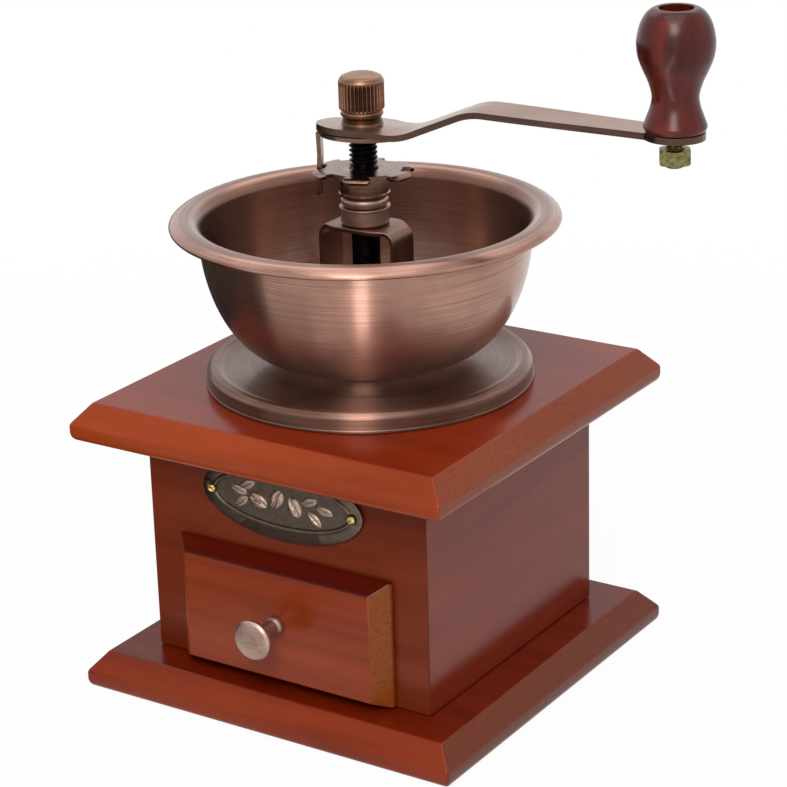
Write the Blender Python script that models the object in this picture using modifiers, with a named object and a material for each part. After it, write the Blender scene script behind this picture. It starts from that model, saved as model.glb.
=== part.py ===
"""Hand cranked coffee grinder: wooden case with a drawer, open copper bowl,
conical burr mill, adjusting star wheel, cranked arm and turned wooden grip.

Metres, +Z up. The origin is the middle of the base board's underside.
The drawer opens towards -Y and the crank points along +X.
"""

import math

import bmesh
import bpy
from mathutils import Matrix, Vector

# Clearances shared by all pieces
SEAT_GAP = 0.0003
RUN_GAP = 0.0003
SLIDE_GAP = 0.0005
OVERRUN = 0.002

# Boards of the case
BASE_WIDTH = 0.125
BASE_DEPTH = 0.123
BASE_THICKNESS = 0.011
TOP_WIDTH = 0.124
TOP_DEPTH = 0.124
TOP_THICKNESS = 0.011
BEVEL_INSET = 0.005
BEVEL_DROP = 0.0058
EDGE_ROUND = 0.0022
CORNER_ROUND = 0.0009

# Panels between the boards
BOX_WIDTH = 0.094
BOX_DEPTH = 0.0906
BOX_HEIGHT = 0.067
FRONT_THICKNESS = 0.008
BACK_THICKNESS = 0.007
SIDE_THICKNESS = 0.007
OPENING_WIDTH = 0.0646
OPENING_HEIGHT = 0.0350
GUIDE_HEIGHT = 0.010

# Drawer
DRAWER_LAP = 0.0037
DRAWER_FRONT_THICKNESS = 0.0062
DRAWER_BEVEL_DEPTH = 0.0048
DRAWER_BEVEL_SIDE = 0.0046
DRAWER_BEVEL_TOP = 0.0034
DRAWER_EDGE_ROUND = 0.0004
DRAWER_LENGTH = 0.078
DRAWER_WALL = 0.005
DRAWER_BOTTOM = 0.003
DRAWER_HEADROOM = 0.0015

# Drawer knob and its screw
KNOB_RADIUS = 0.006
KNOB_LENGTH = 0.0123
KNOB_DISC = 0.0034
KNOB_NECK_RADIUS = 0.0026
KNOB_FOOT_RADIUS = 0.0042
KNOB_SCREW_RADIUS = 0.0015
KNOB_SCREW_GRIP = 0.006
KNOB_SCREW_HEAD_RADIUS = 0.0032
KNOB_SCREW_HEAD = 0.0018

# Oval plate and its two pins
PLATE_WIDTH = 0.054
PLATE_HEIGHT = 0.0232
PLATE_THICKNESS = 0.0010
PLATE_BORDER = 0.0037
PLATE_RIM_WIDTH = 0.0009
PLATE_RIM_HEIGHT = 0.0006
PIN_INSET = 0.0033
PIN_HEAD_RADIUS = 0.0014
PIN_HEAD = 0.0008
PIN_RADIUS = 0.0006
PIN_LENGTH = 0.006

# Pressed cover between the top board and the bowl
COVER_RADIUS = 0.0473
COVER_HEIGHT = 0.0053
COVER_ROUND = 0.0018
COVER_SHEET = 0.0010
NECK_RADIUS = 0.026
NECK_HEIGHT = 0.0026
NECK_FILLET = 0.0012

# Bowl: a quarter ellipse on a flat floor, under a broad rolled rim
BOWL_SHEET = 0.0010
BOWL_FLOOR_RADIUS = 0.024
BOWL_RADIUS = 0.0466
BOWL_BODY_HEIGHT = 0.0362
BOWL_MOUTH_RADIUS = 0.0168
RIM_RADIUS = 0.0557
RIM_DEPTH = 0.0034

# Bridge bracket that holds the upper bearing
BRACKET_HEIGHT = 0.0362
BRACKET_SPAN = 0.0254
BRACKET_THICKNESS = 0.0013
BRACKET_PLATE_WIDTH = 0.0150
BRACKET_LEG_WIDTH = 0.0106
BRACKET_SHOULDER = 0.0065
BRACKET_TAPER = 0.0045
BRACKET_BEND = 0.0045
BRACKET_FOOT_BEND = 0.0020
BRACKET_REACH = 0.0242
BRACKET_SCREW_PLACE = 0.0204

# Shaft
SHAFT_RADIUS = 0.004
SHAFT_END_RADIUS = 0.003
SHAFT_CHAMFER = 0.0006
FLATS_WIDTH = 0.0062

# Upper bearing, thrust collar, adjusting nut and star wheel
BUSH_RADIUS = 0.0070
BUSH_HEIGHT = 0.0048
SPIGOT_RADIUS = 0.0054
SPIGOT_STAKE = 0.0007
THRUST_LIP_RADIUS = 0.0073
THRUST_RADIUS = 0.0068
THRUST_LIP = 0.0005
THRUST_HEIGHT = 0.0029
NUT_RADIUS = 0.0069
NUT_HEIGHT = 0.0055
WHEEL_RADIUS = 0.0142
WHEEL_THICKNESS = 0.0013
WHEEL_LOBES = 6
NOTCH_RADIUS = 0.0108
NOTCH_SIDE_GAP = 0.0006
LOBE_ROUND = 0.0011

# Lock plate with its bent finger
LOCK_RISE = 0.0097
LOCK_RADIUS = 0.0117
LOCK_THICKNESS = 0.0012
FINGER_ANGLE = math.radians(204)
FINGER_WIDTH = 0.0044
FINGER_THICKNESS = 0.0011
FINGER_RADIUS = 0.0129
FINGER_BEND = 0.0018
FINGER_DROP = 0.0165
FINGER_FLARE = 0.0006

# Crank arm
CRANK_RADIUS = 0.0975
CRANK_THICKNESS = 0.0018
CRANK_BOSS_RADIUS = 0.0129
CRANK_TAPER = 0.022
CRANK_WIDTH = 0.0109
CRANK_END_RADIUS = 0.0080
CRANK_RISE = 0.0095
CRANK_FLAT = 0.0150
CRANK_SLOPE = 0.0265
CRANK_BEND = 0.014

# Knurled cap nut
CAP_RADIUS = 0.0063
CAP_HEIGHT = 0.0143
CAP_KNURL_LENGTH = 0.0070
CAP_DOME = 0.0021
CAP_FLUTES = 26
CAP_FLUTE_DEPTH = 0.00035
CAP_BORE_DEPTH = 0.0095
CAP_RING_RADIUS = 0.0060
CAP_GROOVE_RADIUS = 0.0055

# Turned grip, its bolt and nut
GRIP_HEIGHT = 0.0324
GRIP_RADIUS = 0.01025
GRIP_MOUTH_RADIUS = 0.0046
GRIP_MOUTH_DEPTH = 0.0080
BOLT_RADIUS = 0.0023
BOLT_HEAD_RADIUS = 0.0040
BOLT_HEAD = 0.0026
BOLT_TAIL = 0.0008
HEX_NUT_WIDTH = 0.0080
HEX_NUT_HEIGHT = 0.0040
HEX_NUT_DROP = 0.0028

# Burrs
RING_FLANGE_RADIUS = 0.031
RING_FLANGE = 0.003
RING_RADIUS = 0.0225
RING_DEPTH = 0.031
RING_FIT = 0.0007
RING_MOUTH_RADIUS = 0.0158
RING_THROAT_RADIUS = 0.0126
RING_THROAT_HEIGHT = 0.016
RING_TEETH_HEIGHT = 0.028
RING_SHOULDER_RADIUS = 0.0135
RING_TOOTH_DEPTH = 0.0012
RING_TEETH = 26
BURR_LIFT = 0.004
BURR_RADIUS = 0.0142
BURR_WAIST_RADIUS = 0.0104
BURR_TOP_RADIUS = 0.0070
BURR_CROWN_HEIGHT = 0.010
BURR_HEIGHT = 0.022
BURR_TEETH = 24
BURR_TOOTH_DEPTH = 0.0014
BURR_BLADES = 4
BURR_BLADE_DEPTH = 0.0030
BURR_ROOT_WALL = 0.0012
BURR_TWIST = math.radians(22)
BLADE_TWIST = math.radians(95)
BURR_NUT_WIDTH = 0.010
BURR_NUT_HEIGHT = 0.0034

# Lower bearing bridge
BRIDGE_WIDTH = 0.009
BRIDGE_THICKNESS = 0.0026
BRIDGE_BOSS_RADIUS = 0.0056
BRIDGE_BOSS = 0.0024
BRIDGE_INSET = 0.0003
SHAFT_TAIL = 0.0012

# Screws
WOOD_SCREW_RADIUS = 0.0016
WOOD_SCREW_HEAD_RADIUS = 0.0034
WOOD_SCREW_HEAD = 0.0020
WOOD_SCREW_POINT = 0.003
BASE_SCREW_LENGTH = 0.024
BASE_SCREW_PLACE = 0.030
MILL_SCREW_LENGTH = 0.010
MILL_SCREWS = 3
PAN_SCREW_RADIUS = 0.0017
PAN_HEAD_RADIUS = 0.0031
PAN_HEAD = 0.0020
BRACKET_SCREW_LENGTH = 0.012
BRIDGE_SCREW_RADIUS = 0.0013
BRIDGE_HEAD_RADIUS = 0.0024
BRIDGE_HEAD = 0.0016
BRIDGE_SCREW_LENGTH = 0.010

# How finely round things are cut
FINE_STEPS = 36
ROUND_STEPS = 32
GRIP_STEPS = 28
SMALL_STEPS = 20
TINY_STEPS = 12
ARC_STEPS = 5
SHARP_ANGLE = math.radians(35)
MERGE = 0.000002

# Outlines as shares of the sizes that they follow
# Rim section from the inner lip over the crest to the body: of its breadth and of its depth
RIM_SHARES = [
    (0.16, 0.88), (0.36, 1.00), (0.62, 0.94), (0.86, 0.72), (1.00, 0.38),
    (0.96, 0.14), (0.82, 0.06), (0.42, 0.12), (0.18, 0.02),
]
# Grip from its mouth down to its foot: of its greatest radius and of its height
GRIP_SHARES = [
    (0.55, 0.995), (0.68, 0.965), (0.80, 0.925), (0.92, 0.845), (0.985, 0.765), (1.00, 0.700),
    (0.955, 0.600), (0.840, 0.505), (0.715, 0.415), (0.630, 0.330), (0.605, 0.270),
    (0.640, 0.200), (0.740, 0.120), (0.805, 0.065), (0.790, 0.020), (0.745, 0.0),
]
# Cap nut's neck under the knurl, top to bottom: of the cap's height
CAP_NECK_SHARES = {"knurl_end": 0.335, "ring_top": 0.300, "ring_foot": 0.205, "groove": 0.150}
KNOB_DOME_SHARE = 0.25
KNOB_NECK_SHARE = 0.62
DOME_SHARE = 0.75
HEX_ROUND_SHARE = 0.96

# Heights of the stack, from the floor up
base_top = BASE_THICKNESS
box_top = base_top + BOX_HEIGHT
board_top = box_top + TOP_THICKNESS
mill_seat = board_top + SEAT_GAP
neck_top = mill_seat + COVER_HEIGHT + NECK_HEIGHT
bowl_seat = neck_top + SEAT_GAP
bracket_seat = bowl_seat + BOWL_SHEET + SEAT_GAP
bracket_top = bracket_seat + BRACKET_HEIGHT
bush_seat = bracket_top + SEAT_GAP
thrust_seat = bush_seat + BUSH_HEIGHT + RUN_GAP
nut_seat = thrust_seat + THRUST_HEIGHT + RUN_GAP
wheel_seat = nut_seat + NUT_HEIGHT + SEAT_GAP
wheel_top = wheel_seat + WHEEL_THICKNESS
lock_seat = wheel_top + LOCK_RISE
crank_seat = lock_seat + LOCK_THICKNESS + SEAT_GAP
cap_seat = crank_seat + CRANK_THICKNESS + SEAT_GAP
arm_level = crank_seat + CRANK_RISE
grip_seat = arm_level + CRANK_THICKNESS + RUN_GAP
ring_foot = board_top - RING_DEPTH
burr_seat = ring_foot + BURR_LIFT
bridge_top = ring_foot - SEAT_GAP

# Places shared by several pieces
front_face = -BOX_DEPTH / 2
inner_front = front_face + FRONT_THICKNESS
inner_back = BOX_DEPTH / 2 - BACK_THICKNESS
side_middle = (BOX_WIDTH - SIDE_THICKNESS) / 2
drawer_back_face = front_face - SEAT_GAP
drawer_foot = base_top + SLIDE_GAP
drawer_front_width = OPENING_WIDTH + 2 * DRAWER_LAP
drawer_front_height = OPENING_HEIGHT - SLIDE_GAP + DRAWER_LAP
drawer_width = OPENING_WIDTH - 2 * SLIDE_GAP
knob_height = drawer_foot + drawer_front_height / 2
knob_seat = drawer_back_face - DRAWER_FRONT_THICKNESS - SEAT_GAP
plate_middle = box_top - SEAT_GAP - PLATE_HEIGHT / 2
plate_seat = front_face - SEAT_GAP
pin_place = PLATE_WIDTH / 2 - PIN_INSET
bore_radius = SHAFT_RADIUS + RUN_GAP
end_bore_radius = SHAFT_END_RADIUS + RUN_GAP
mill_screw_place = (RING_FLANGE_RADIUS + RING_RADIUS + RING_FIT) / 2
bridge_screw_place = (RING_RADIUS + RING_MOUTH_RADIUS + RING_TOOTH_DEPTH) / 2


def clear_scene():
    for old in list(bpy.data.objects):
        bpy.data.objects.remove(old, do_unlink=True)
    for block in (bpy.data.meshes, bpy.data.curves, bpy.data.materials):
        for old in list(block):
            block.remove(old)
    for old in list(bpy.data.collections):
        bpy.data.collections.remove(old)


def add_collection(name):
    collection = bpy.data.collections.new(name)
    bpy.context.scene.collection.children.link(collection)
    return collection


def add_material(name, color, metallic, roughness):
    material = bpy.data.materials.new(name)
    material.use_nodes = True
    shader = material.node_tree.nodes["Principled BSDF"]
    shader.inputs["Base Color"].default_value = (*color, 1.0)
    shader.inputs["Metallic"].default_value = metallic
    shader.inputs["Roughness"].default_value = roughness
    material.diffuse_color = (*color, 1.0)
    return material


clear_scene()
pieces = add_collection("manual_coffee_grinder")
cutters = add_collection("cutters")
axes = add_collection("axes")

lacquered_wood = add_material("lacquered_wood", (0.33, 0.075, 0.022), 0.0, 0.28)
raw_wood = add_material("raw_wood", (0.52, 0.34, 0.18), 0.0, 0.6)
grip_wood = add_material("grip_wood", (0.115, 0.012, 0.008), 0.0, 0.2)
copper = add_material("antique_copper", (0.36, 0.19, 0.14), 1.0, 0.32)
bronze = add_material("dark_bronze", (0.16, 0.12, 0.10), 1.0, 0.45)
black_steel = add_material("black_steel", (0.02, 0.02, 0.02), 0.8, 0.45)
cast_steel = add_material("cast_steel", (0.20, 0.20, 0.21), 0.9, 0.55)
zinc = add_material("yellow_zinc", (0.55, 0.48, 0.27), 1.0, 0.35)
brass = add_material("brass", (0.72, 0.58, 0.30), 1.0, 0.3)


def add_axis(name, location):
    """An empty that stands on a joint's axis and carries the pieces that move with it."""
    empty = bpy.data.objects.new(name, None)
    empty.location = location
    empty.empty_display_size = SHAFT_RADIUS
    axes.objects.link(empty)
    return empty


crank_axis = add_axis("crank_axis", (0, 0, nut_seat))
grip_axis = add_axis("grip_axis", (CRANK_RADIUS, 0, grip_seat))
drawer_axis = add_axis("drawer_axis", (0, front_face, drawer_foot))


def smooth(mesh):
    mesh.shade_smooth()
    mesh.set_sharp_from_angle(angle=SHARP_ANGLE)


def link_mesh(build, name):
    """Writes a bmesh into a new object of the pieces' collection."""
    mesh = bpy.data.meshes.new(name)
    bmesh.ops.recalc_face_normals(build, faces=build.faces)
    build.to_mesh(mesh)
    build.free()
    thing = bpy.data.objects.new(name, mesh)
    pieces.objects.link(thing)
    return thing


def finish(thing, name, material, location=(0, 0, 0), parent=None):
    """Names a piece, gives it its material and puts it at its place in the world."""
    thing.name = name
    thing.data.name = name
    thing.data.materials.clear()
    thing.data.materials.append(material)
    smooth(thing.data)
    thing.location = Vector(location)
    if parent is not None:
        thing.parent = parent
        thing.location = Vector(location) - parent.location
    return thing


def as_cutter(thing, name):
    pieces.objects.unlink(thing)
    cutters.objects.link(thing)
    thing.name = name
    thing.hide_render = True
    thing.display_type = "WIRE"
    return thing


def boolean(target, tool, operation, solver="EXACT"):
    modifier = target.modifiers.new(operation.lower(), "BOOLEAN")
    modifier.operation = operation
    modifier.solver = solver
    modifier.object = tool


def cut(target, tool, solver="EXACT"):
    boolean(target, as_cutter(tool, target.name + "_cut"), "DIFFERENCE", solver)


def join(target, tool):
    boolean(target, as_cutter(tool, target.name + "_join"), "UNION")


def trim(target, tool):
    boolean(target, as_cutter(tool, target.name + "_trim"), "INTERSECT")


def box(width, depth, height, place=(0, 0, 0)):
    """A block whose underside is centred on the given place."""
    build = bmesh.new()
    bmesh.ops.create_cube(build, size=1.0)
    bmesh.ops.scale(build, vec=(width, depth, height), verts=build.verts)
    bmesh.ops.translate(build, vec=Vector(place) + Vector((0, 0, height / 2)), verts=build.verts)
    return link_mesh(build, "box")


def cylinder(radius, height, place=(0, 0, 0), steps=SMALL_STEPS, turn=None, top_radius=None):
    """A cylinder or cone that stands on the given place, along +Z unless it is turned."""
    build = bmesh.new()
    bmesh.ops.create_cone(
        build,
        cap_ends=True,
        segments=steps,
        radius1=radius,
        radius2=radius if top_radius is None else top_radius,
        depth=height,
    )
    bmesh.ops.translate(build, vec=(0, 0, height / 2), verts=build.verts)
    if turn is not None:
        bmesh.ops.transform(build, matrix=turn, verts=build.verts)
    bmesh.ops.translate(build, vec=place, verts=build.verts)
    return link_mesh(build, "cylinder")


TOWARDS_FRONT = Matrix.Rotation(math.radians(90), 4, "X")
TOWARDS_BACK = Matrix.Rotation(math.radians(-90), 4, "X")


def turned(outline, steps, ring=False):
    """Turns an outline of radius and height round Z; a ring's outline closes on itself."""
    mesh = bpy.data.meshes.new("turned")
    points = [(radius, 0, height) for radius, height in outline]
    edges = [(i, i + 1) for i in range(len(points) - 1)]
    if ring:
        edges.append((len(points) - 1, 0))
    mesh.from_pydata(points, edges, [])
    thing = bpy.data.objects.new("turned", mesh)
    pieces.objects.link(thing)
    screw = thing.modifiers.new("turn", "SCREW")
    screw.axis = "Z"
    screw.angle = 2 * math.pi
    screw.steps = steps
    screw.render_steps = steps
    screw.use_merge_vertices = True
    screw.merge_threshold = MERGE
    screw.use_smooth_shade = True
    return thing


def settle(thing):
    """Replaces an object's modifiers or curve by the mesh that they give."""
    evaluated = thing.evaluated_get(bpy.context.evaluated_depsgraph_get())
    mesh = bpy.data.meshes.new_from_object(evaluated)
    build = bmesh.new()
    build.from_mesh(mesh)
    bmesh.ops.remove_doubles(build, verts=build.verts, dist=MERGE)
    build.to_mesh(mesh)
    build.free()
    settled = bpy.data.objects.new(thing.name, mesh)
    settled.matrix_world = thing.matrix_world.copy()
    pieces.objects.link(settled)
    bpy.data.objects.remove(thing, do_unlink=True)
    return settled


def plate(outline, thickness, holes=()):
    """A flat plate with its underside at height zero, from a 2D outline and outlines of holes."""
    curve = bpy.data.curves.new("plate", "CURVE")
    curve.dimensions = "2D"
    curve.fill_mode = "BOTH"
    curve.extrude = thickness / 2
    for loop in (outline, *holes):
        spline = curve.splines.new("POLY")
        spline.points.add(len(loop) - 1)
        spline.use_cyclic_u = True
        for point, (x, y) in zip(spline.points, loop):
            point.co = (x, y, 0, 1)
    thing = bpy.data.objects.new("plate", curve)
    pieces.objects.link(thing)
    thing = settle(thing)
    thing.data.transform(Matrix.Translation((0, 0, thickness / 2)))
    return thing


def arc(middle, radius, start, end, steps=ARC_STEPS):
    """Points of an arc about a middle, from one angle in degrees to another."""
    points = []
    for i in range(steps + 1):
        angle = math.radians(start + (end - start) * i / steps)
        points.append((middle[0] + radius * math.cos(angle), middle[1] + radius * math.sin(angle)))
    return points


def circle(radius, steps):
    return arc((0, 0), radius, 0, 360 * (steps - 1) / steps, steps - 1)


def ellipse(half_width, half_height, steps):
    return [(half_width * x, half_height * y) for x, y in circle(1, steps)]


def strip(path, width, thickness):
    """A bent strip: a path in X and Z, drawn out along Y and given its thickness."""
    build = bmesh.new()
    near = [build.verts.new((x, -width / 2, z)) for x, z in path]
    far = [build.verts.new((x, width / 2, z)) for x, z in path]
    for i in range(len(path) - 1):
        build.faces.new((near[i], near[i + 1], far[i + 1], far[i]))
    thing = link_mesh(build, "strip")
    solidify = thing.modifiers.new("thickness", "SOLIDIFY")
    solidify.thickness = thickness
    solidify.offset = 0
    solidify.use_even_offset = True
    return settle(thing)


def loft(rings):
    """Joins closed rings of equal point counts and caps both ends."""
    build = bmesh.new()
    rows = [[build.verts.new(point) for point in ring] for ring in rings]
    count = len(rows[0])
    for lower, upper in zip(rows, rows[1:]):
        for i in range(count):
            j = (i + 1) % count
            build.faces.new((lower[i], lower[j], upper[j], upper[i]))
    build.faces.new(rows[0])
    build.faces.new(rows[-1])
    return link_mesh(build, "loft")


def toothed_ring(tip, root, teeth, height, twist, lean):
    """One level of a toothed cone: each tooth rises over its lean share and then drops."""
    points = []
    for i in range(teeth):
        for share, radius in ((0, root), (lean, tip)):
            angle = twist + 2 * math.pi * (i + share) / teeth
            points.append((radius * math.cos(angle), radius * math.sin(angle), height))
    return points


def soften(thing, width, segments=1):
    bevel = thing.modifiers.new("soften", "BEVEL")
    bevel.width = width
    bevel.segments = segments
    bevel.limit_method = "ANGLE"
    bevel.angle_limit = SHARP_ANGLE


def moulded_board(width, depth, thickness, inset_x, inset_y, drop, edge_round):
    """A board whose upper edges slope in, with a rounded lower edge and eased corners."""
    build = bmesh.new()
    bmesh.ops.create_cube(build, size=1.0)
    body = thickness - drop
    bmesh.ops.scale(build, vec=(width, depth, body), verts=build.verts)
    bmesh.ops.translate(build, vec=(0, 0, body / 2), verts=build.verts)
    upright = [edge for edge in build.edges if abs(edge.verts[0].co.z - edge.verts[1].co.z) > MERGE]
    bmesh.ops.bevel(build, geom=upright, offset=CORNER_ROUND, segments=1, affect="EDGES", profile=0.5)
    under = [edge for edge in build.edges if max(vert.co.z for vert in edge.verts) < MERGE]
    bmesh.ops.bevel(build, geom=under, offset=edge_round, segments=3, affect="EDGES", profile=0.5)
    lid = max(build.faces, key=lambda face: face.calc_center_median().z)
    raised = bmesh.ops.extrude_face_region(build, geom=[lid])
    bmesh.ops.delete(build, geom=[lid], context="FACES_ONLY")
    for vert in raised["geom"]:
        if isinstance(vert, bmesh.types.BMVert):
            vert.co.x -= math.copysign(inset_x, vert.co.x)
            vert.co.y -= math.copysign(inset_y, vert.co.y)
            vert.co.z += drop
    return link_mesh(build, "board")


def wood_screw(name, length, place, upside_down, parent=None):
    """A countersunk wood screw; its head's flat is at the place and its point away from it."""
    outline = [
        (0, 0),
        (WOOD_SCREW_HEAD_RADIUS, 0),
        (WOOD_SCREW_HEAD_RADIUS, -WOOD_SCREW_HEAD / 5),
        (WOOD_SCREW_RADIUS, -WOOD_SCREW_HEAD),
        (WOOD_SCREW_RADIUS, WOOD_SCREW_POINT - length),
        (0, -length),
    ]
    screw = turned(outline, TINY_STEPS)
    if upside_down:
        screw.rotation_euler = (math.pi, 0, 0)
    return finish(screw, name, zinc, place, parent)


def pan_screw(name, radius, head_radius, head, length, place, material, upside_down=False):
    """A machine screw; the underside of its head is at the place."""
    outline = [
        (0, head),
        (head_radius * DOME_SHARE, head),
        (head_radius, head / 2),
        (head_radius, 0),
        (radius, 0),
        (radius, -length),
        (0, -length),
    ]
    screw = turned(outline, TINY_STEPS)
    if upside_down:
        screw.rotation_euler = (math.pi, 0, 0)
    return finish(screw, name, material, place)


def screw_seat(radius, head_radius, head, length, place, downwards):
    """A cutter for a countersunk screw that enters at the place."""
    way = -1 if downwards else 1
    outline = [
        (0, -OVERRUN * way),
        (head_radius + SEAT_GAP, -OVERRUN * way),
        (head_radius + SEAT_GAP, (SEAT_GAP + head / 5) * way),
        (radius + SEAT_GAP, (SEAT_GAP + head) * way),
        (radius + SEAT_GAP, length * way),
        (0, length * way),
    ]
    if not downwards:
        outline.reverse()
    seat = turned(outline, TINY_STEPS)
    seat.location = place
    return seat


def base_screw_places():
    for side in (-1, 1):
        for end in (-1, 1):
            yield (side * side_middle, end * BASE_SCREW_PLACE)


def mill_screw_places():
    for i in range(MILL_SCREWS):
        angle = 2 * math.pi * (i + 0.25) / MILL_SCREWS
        yield (mill_screw_place * math.cos(angle), mill_screw_place * math.sin(angle))


def build_case():
    shape = (BASE_THICKNESS, BEVEL_INSET, BEVEL_INSET, BEVEL_DROP, EDGE_ROUND)
    base = moulded_board(BASE_WIDTH, BASE_DEPTH, *shape)
    finish(base, "base_board", lacquered_wood)
    screw_depth = BASE_SCREW_LENGTH + 2 * SEAT_GAP
    for x, y in base_screw_places():
        seat = screw_seat(
            WOOD_SCREW_RADIUS, WOOD_SCREW_HEAD_RADIUS, WOOD_SCREW_HEAD, screw_depth, (x, y, 0), False
        )
        cut(base, seat)

    shape = (TOP_THICKNESS, BEVEL_INSET, BEVEL_INSET, BEVEL_DROP, EDGE_ROUND)
    lid = moulded_board(TOP_WIDTH, TOP_DEPTH, *shape)
    finish(lid, "top_board", lacquered_wood, (0, 0, box_top))
    hole = cylinder(
        RING_RADIUS + RING_FIT, TOP_THICKNESS + 2 * OVERRUN, (0, 0, box_top - OVERRUN), FINE_STEPS
    )
    cut(lid, hole, "MANIFOLD")
    for x, y in mill_screw_places():
        pilot = cylinder(
            WOOD_SCREW_RADIUS + SEAT_GAP,
            MILL_SCREW_LENGTH + OVERRUN,
            (x, y, board_top + RING_FLANGE - MILL_SCREW_LENGTH - SEAT_GAP),
            TINY_STEPS,
        )
        cut(lid, pilot)

    foot = base_top + SEAT_GAP
    height = BOX_HEIGHT - 2 * SEAT_GAP
    front = box(BOX_WIDTH, FRONT_THICKNESS, height)
    finish(front, "front_panel", lacquered_wood, (0, front_face + FRONT_THICKNESS / 2, foot))
    mouth = box(
        OPENING_WIDTH,
        FRONT_THICKNESS + 2 * OVERRUN,
        OPENING_HEIGHT + OVERRUN,
        (0, front_face + FRONT_THICKNESS / 2, base_top - OVERRUN),
    )
    cut(front, mouth)
    for side in (-1, 1):
        start = (side * pin_place, front_face - OVERRUN, plate_middle)
        depth = PIN_LENGTH + OVERRUN
        cut(front, cylinder(PIN_RADIUS + SEAT_GAP, depth, start, TINY_STEPS, TOWARDS_BACK))

    back = box(BOX_WIDTH, BACK_THICKNESS, height)
    finish(back, "back_panel", lacquered_wood, (0, inner_back + BACK_THICKNESS / 2, foot))

    side_depth = inner_back - inner_front - 2 * SEAT_GAP
    side_centre = (inner_back + inner_front) / 2
    for side, name in ((-1, "left_panel"), (1, "right_panel")):
        panel = box(SIDE_THICKNESS, side_depth, height)
        finish(panel, name, lacquered_wood, (side * side_middle, side_centre, foot))
        for x, y in base_screw_places():
            if x * side < 0:
                continue
            pilot_length = BASE_SCREW_LENGTH + 2 * SEAT_GAP
            pilot = cylinder(WOOD_SCREW_RADIUS + SEAT_GAP, pilot_length, (x, y, SEAT_GAP), TINY_STEPS)
            cut(panel, pilot)

    guide_width = side_middle - SIDE_THICKNESS / 2 - SEAT_GAP - OPENING_WIDTH / 2
    for side, name in ((-1, "left_drawer_guide"), (1, "right_drawer_guide")):
        guide = box(guide_width, side_depth, GUIDE_HEIGHT)
        place = (side * (OPENING_WIDTH + guide_width) / 2, side_centre, foot)
        finish(guide, name, raw_wood, place)

    for i, (x, y) in enumerate(base_screw_places()):
        wood_screw(f"base_screw_{i + 1}", BASE_SCREW_LENGTH, (x, y, SEAT_GAP), True)


def build_drawer():
    front = moulded_board(
        drawer_front_width,
        drawer_front_height,
        DRAWER_FRONT_THICKNESS,
        DRAWER_BEVEL_SIDE,
        DRAWER_BEVEL_TOP,
        DRAWER_BEVEL_DEPTH,
        DRAWER_EDGE_ROUND,
    )
    front.data.transform(TOWARDS_FRONT)
    finish(front, "drawer_front", lacquered_wood, (0, drawer_back_face, knob_height), drawer_axis)
    hole_start = (0, drawer_back_face + OVERRUN, knob_height)
    hole_length = DRAWER_FRONT_THICKNESS + 2 * OVERRUN
    hole = cylinder(KNOB_SCREW_RADIUS + SEAT_GAP, hole_length, hole_start, TINY_STEPS, TOWARDS_FRONT)
    cut(front, hole)

    start = drawer_back_face + SEAT_GAP
    bottom = box(drawer_width, DRAWER_LENGTH, DRAWER_BOTTOM)
    place = (0, start + DRAWER_LENGTH / 2, drawer_foot)
    finish(bottom, "drawer_bottom", raw_wood, place, drawer_axis)

    wall_foot = drawer_foot + DRAWER_BOTTOM + SEAT_GAP
    wall_height = base_top + OPENING_HEIGHT - DRAWER_HEADROOM - wall_foot
    for side, name in ((-1, "drawer_left_side"), (1, "drawer_right_side")):
        wall = box(DRAWER_WALL, DRAWER_LENGTH, wall_height)
        place = (side * (drawer_width - DRAWER_WALL) / 2, start + DRAWER_LENGTH / 2, wall_foot)
        finish(wall, name, raw_wood, place, drawer_axis)
    back = box(drawer_width - 2 * DRAWER_WALL - 2 * SEAT_GAP, DRAWER_WALL, wall_height)
    place = (0, start + DRAWER_LENGTH - DRAWER_WALL / 2, wall_foot)
    finish(back, "drawer_back", raw_wood, place, drawer_axis)

    bore = KNOB_SCREW_RADIUS + SEAT_GAP
    disc_foot = KNOB_LENGTH - KNOB_DISC
    outline = [
        (0, KNOB_LENGTH),
        (KNOB_RADIUS * DOME_SHARE, KNOB_LENGTH - KNOB_DISC * KNOB_DOME_SHARE / 2),
        (KNOB_RADIUS, KNOB_LENGTH - KNOB_DISC * KNOB_DOME_SHARE * 2),
        (KNOB_RADIUS, disc_foot + KNOB_DISC * KNOB_DOME_SHARE),
        (KNOB_RADIUS * DOME_SHARE, disc_foot),
        (KNOB_NECK_RADIUS, disc_foot - KNOB_DISC * KNOB_DOME_SHARE),
        (KNOB_NECK_RADIUS, disc_foot * (1 - KNOB_NECK_SHARE)),
        (KNOB_FOOT_RADIUS, KNOB_DISC * KNOB_DOME_SHARE),
        (KNOB_FOOT_RADIUS, 0),
        (bore, 0),
        (bore, KNOB_SCREW_GRIP + SEAT_GAP),
        (0, KNOB_SCREW_GRIP + SEAT_GAP),
    ]
    knob = settle(turned(outline, SMALL_STEPS))
    knob.data.transform(TOWARDS_FRONT)
    finish(knob, "drawer_knob", copper, (0, knob_seat, knob_height), drawer_axis)

    screw_length = DRAWER_FRONT_THICKNESS + KNOB_SCREW_GRIP
    screw = settle(
        pan_screw(
            "knob_screw", KNOB_SCREW_RADIUS, KNOB_SCREW_HEAD_RADIUS, KNOB_SCREW_HEAD, screw_length, (0, 0, 0), zinc
        )
    )
    screw.data.transform(TOWARDS_BACK)
    finish(screw, "knob_screw", zinc, (0, drawer_back_face + SEAT_GAP, knob_height), drawer_axis)


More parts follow.
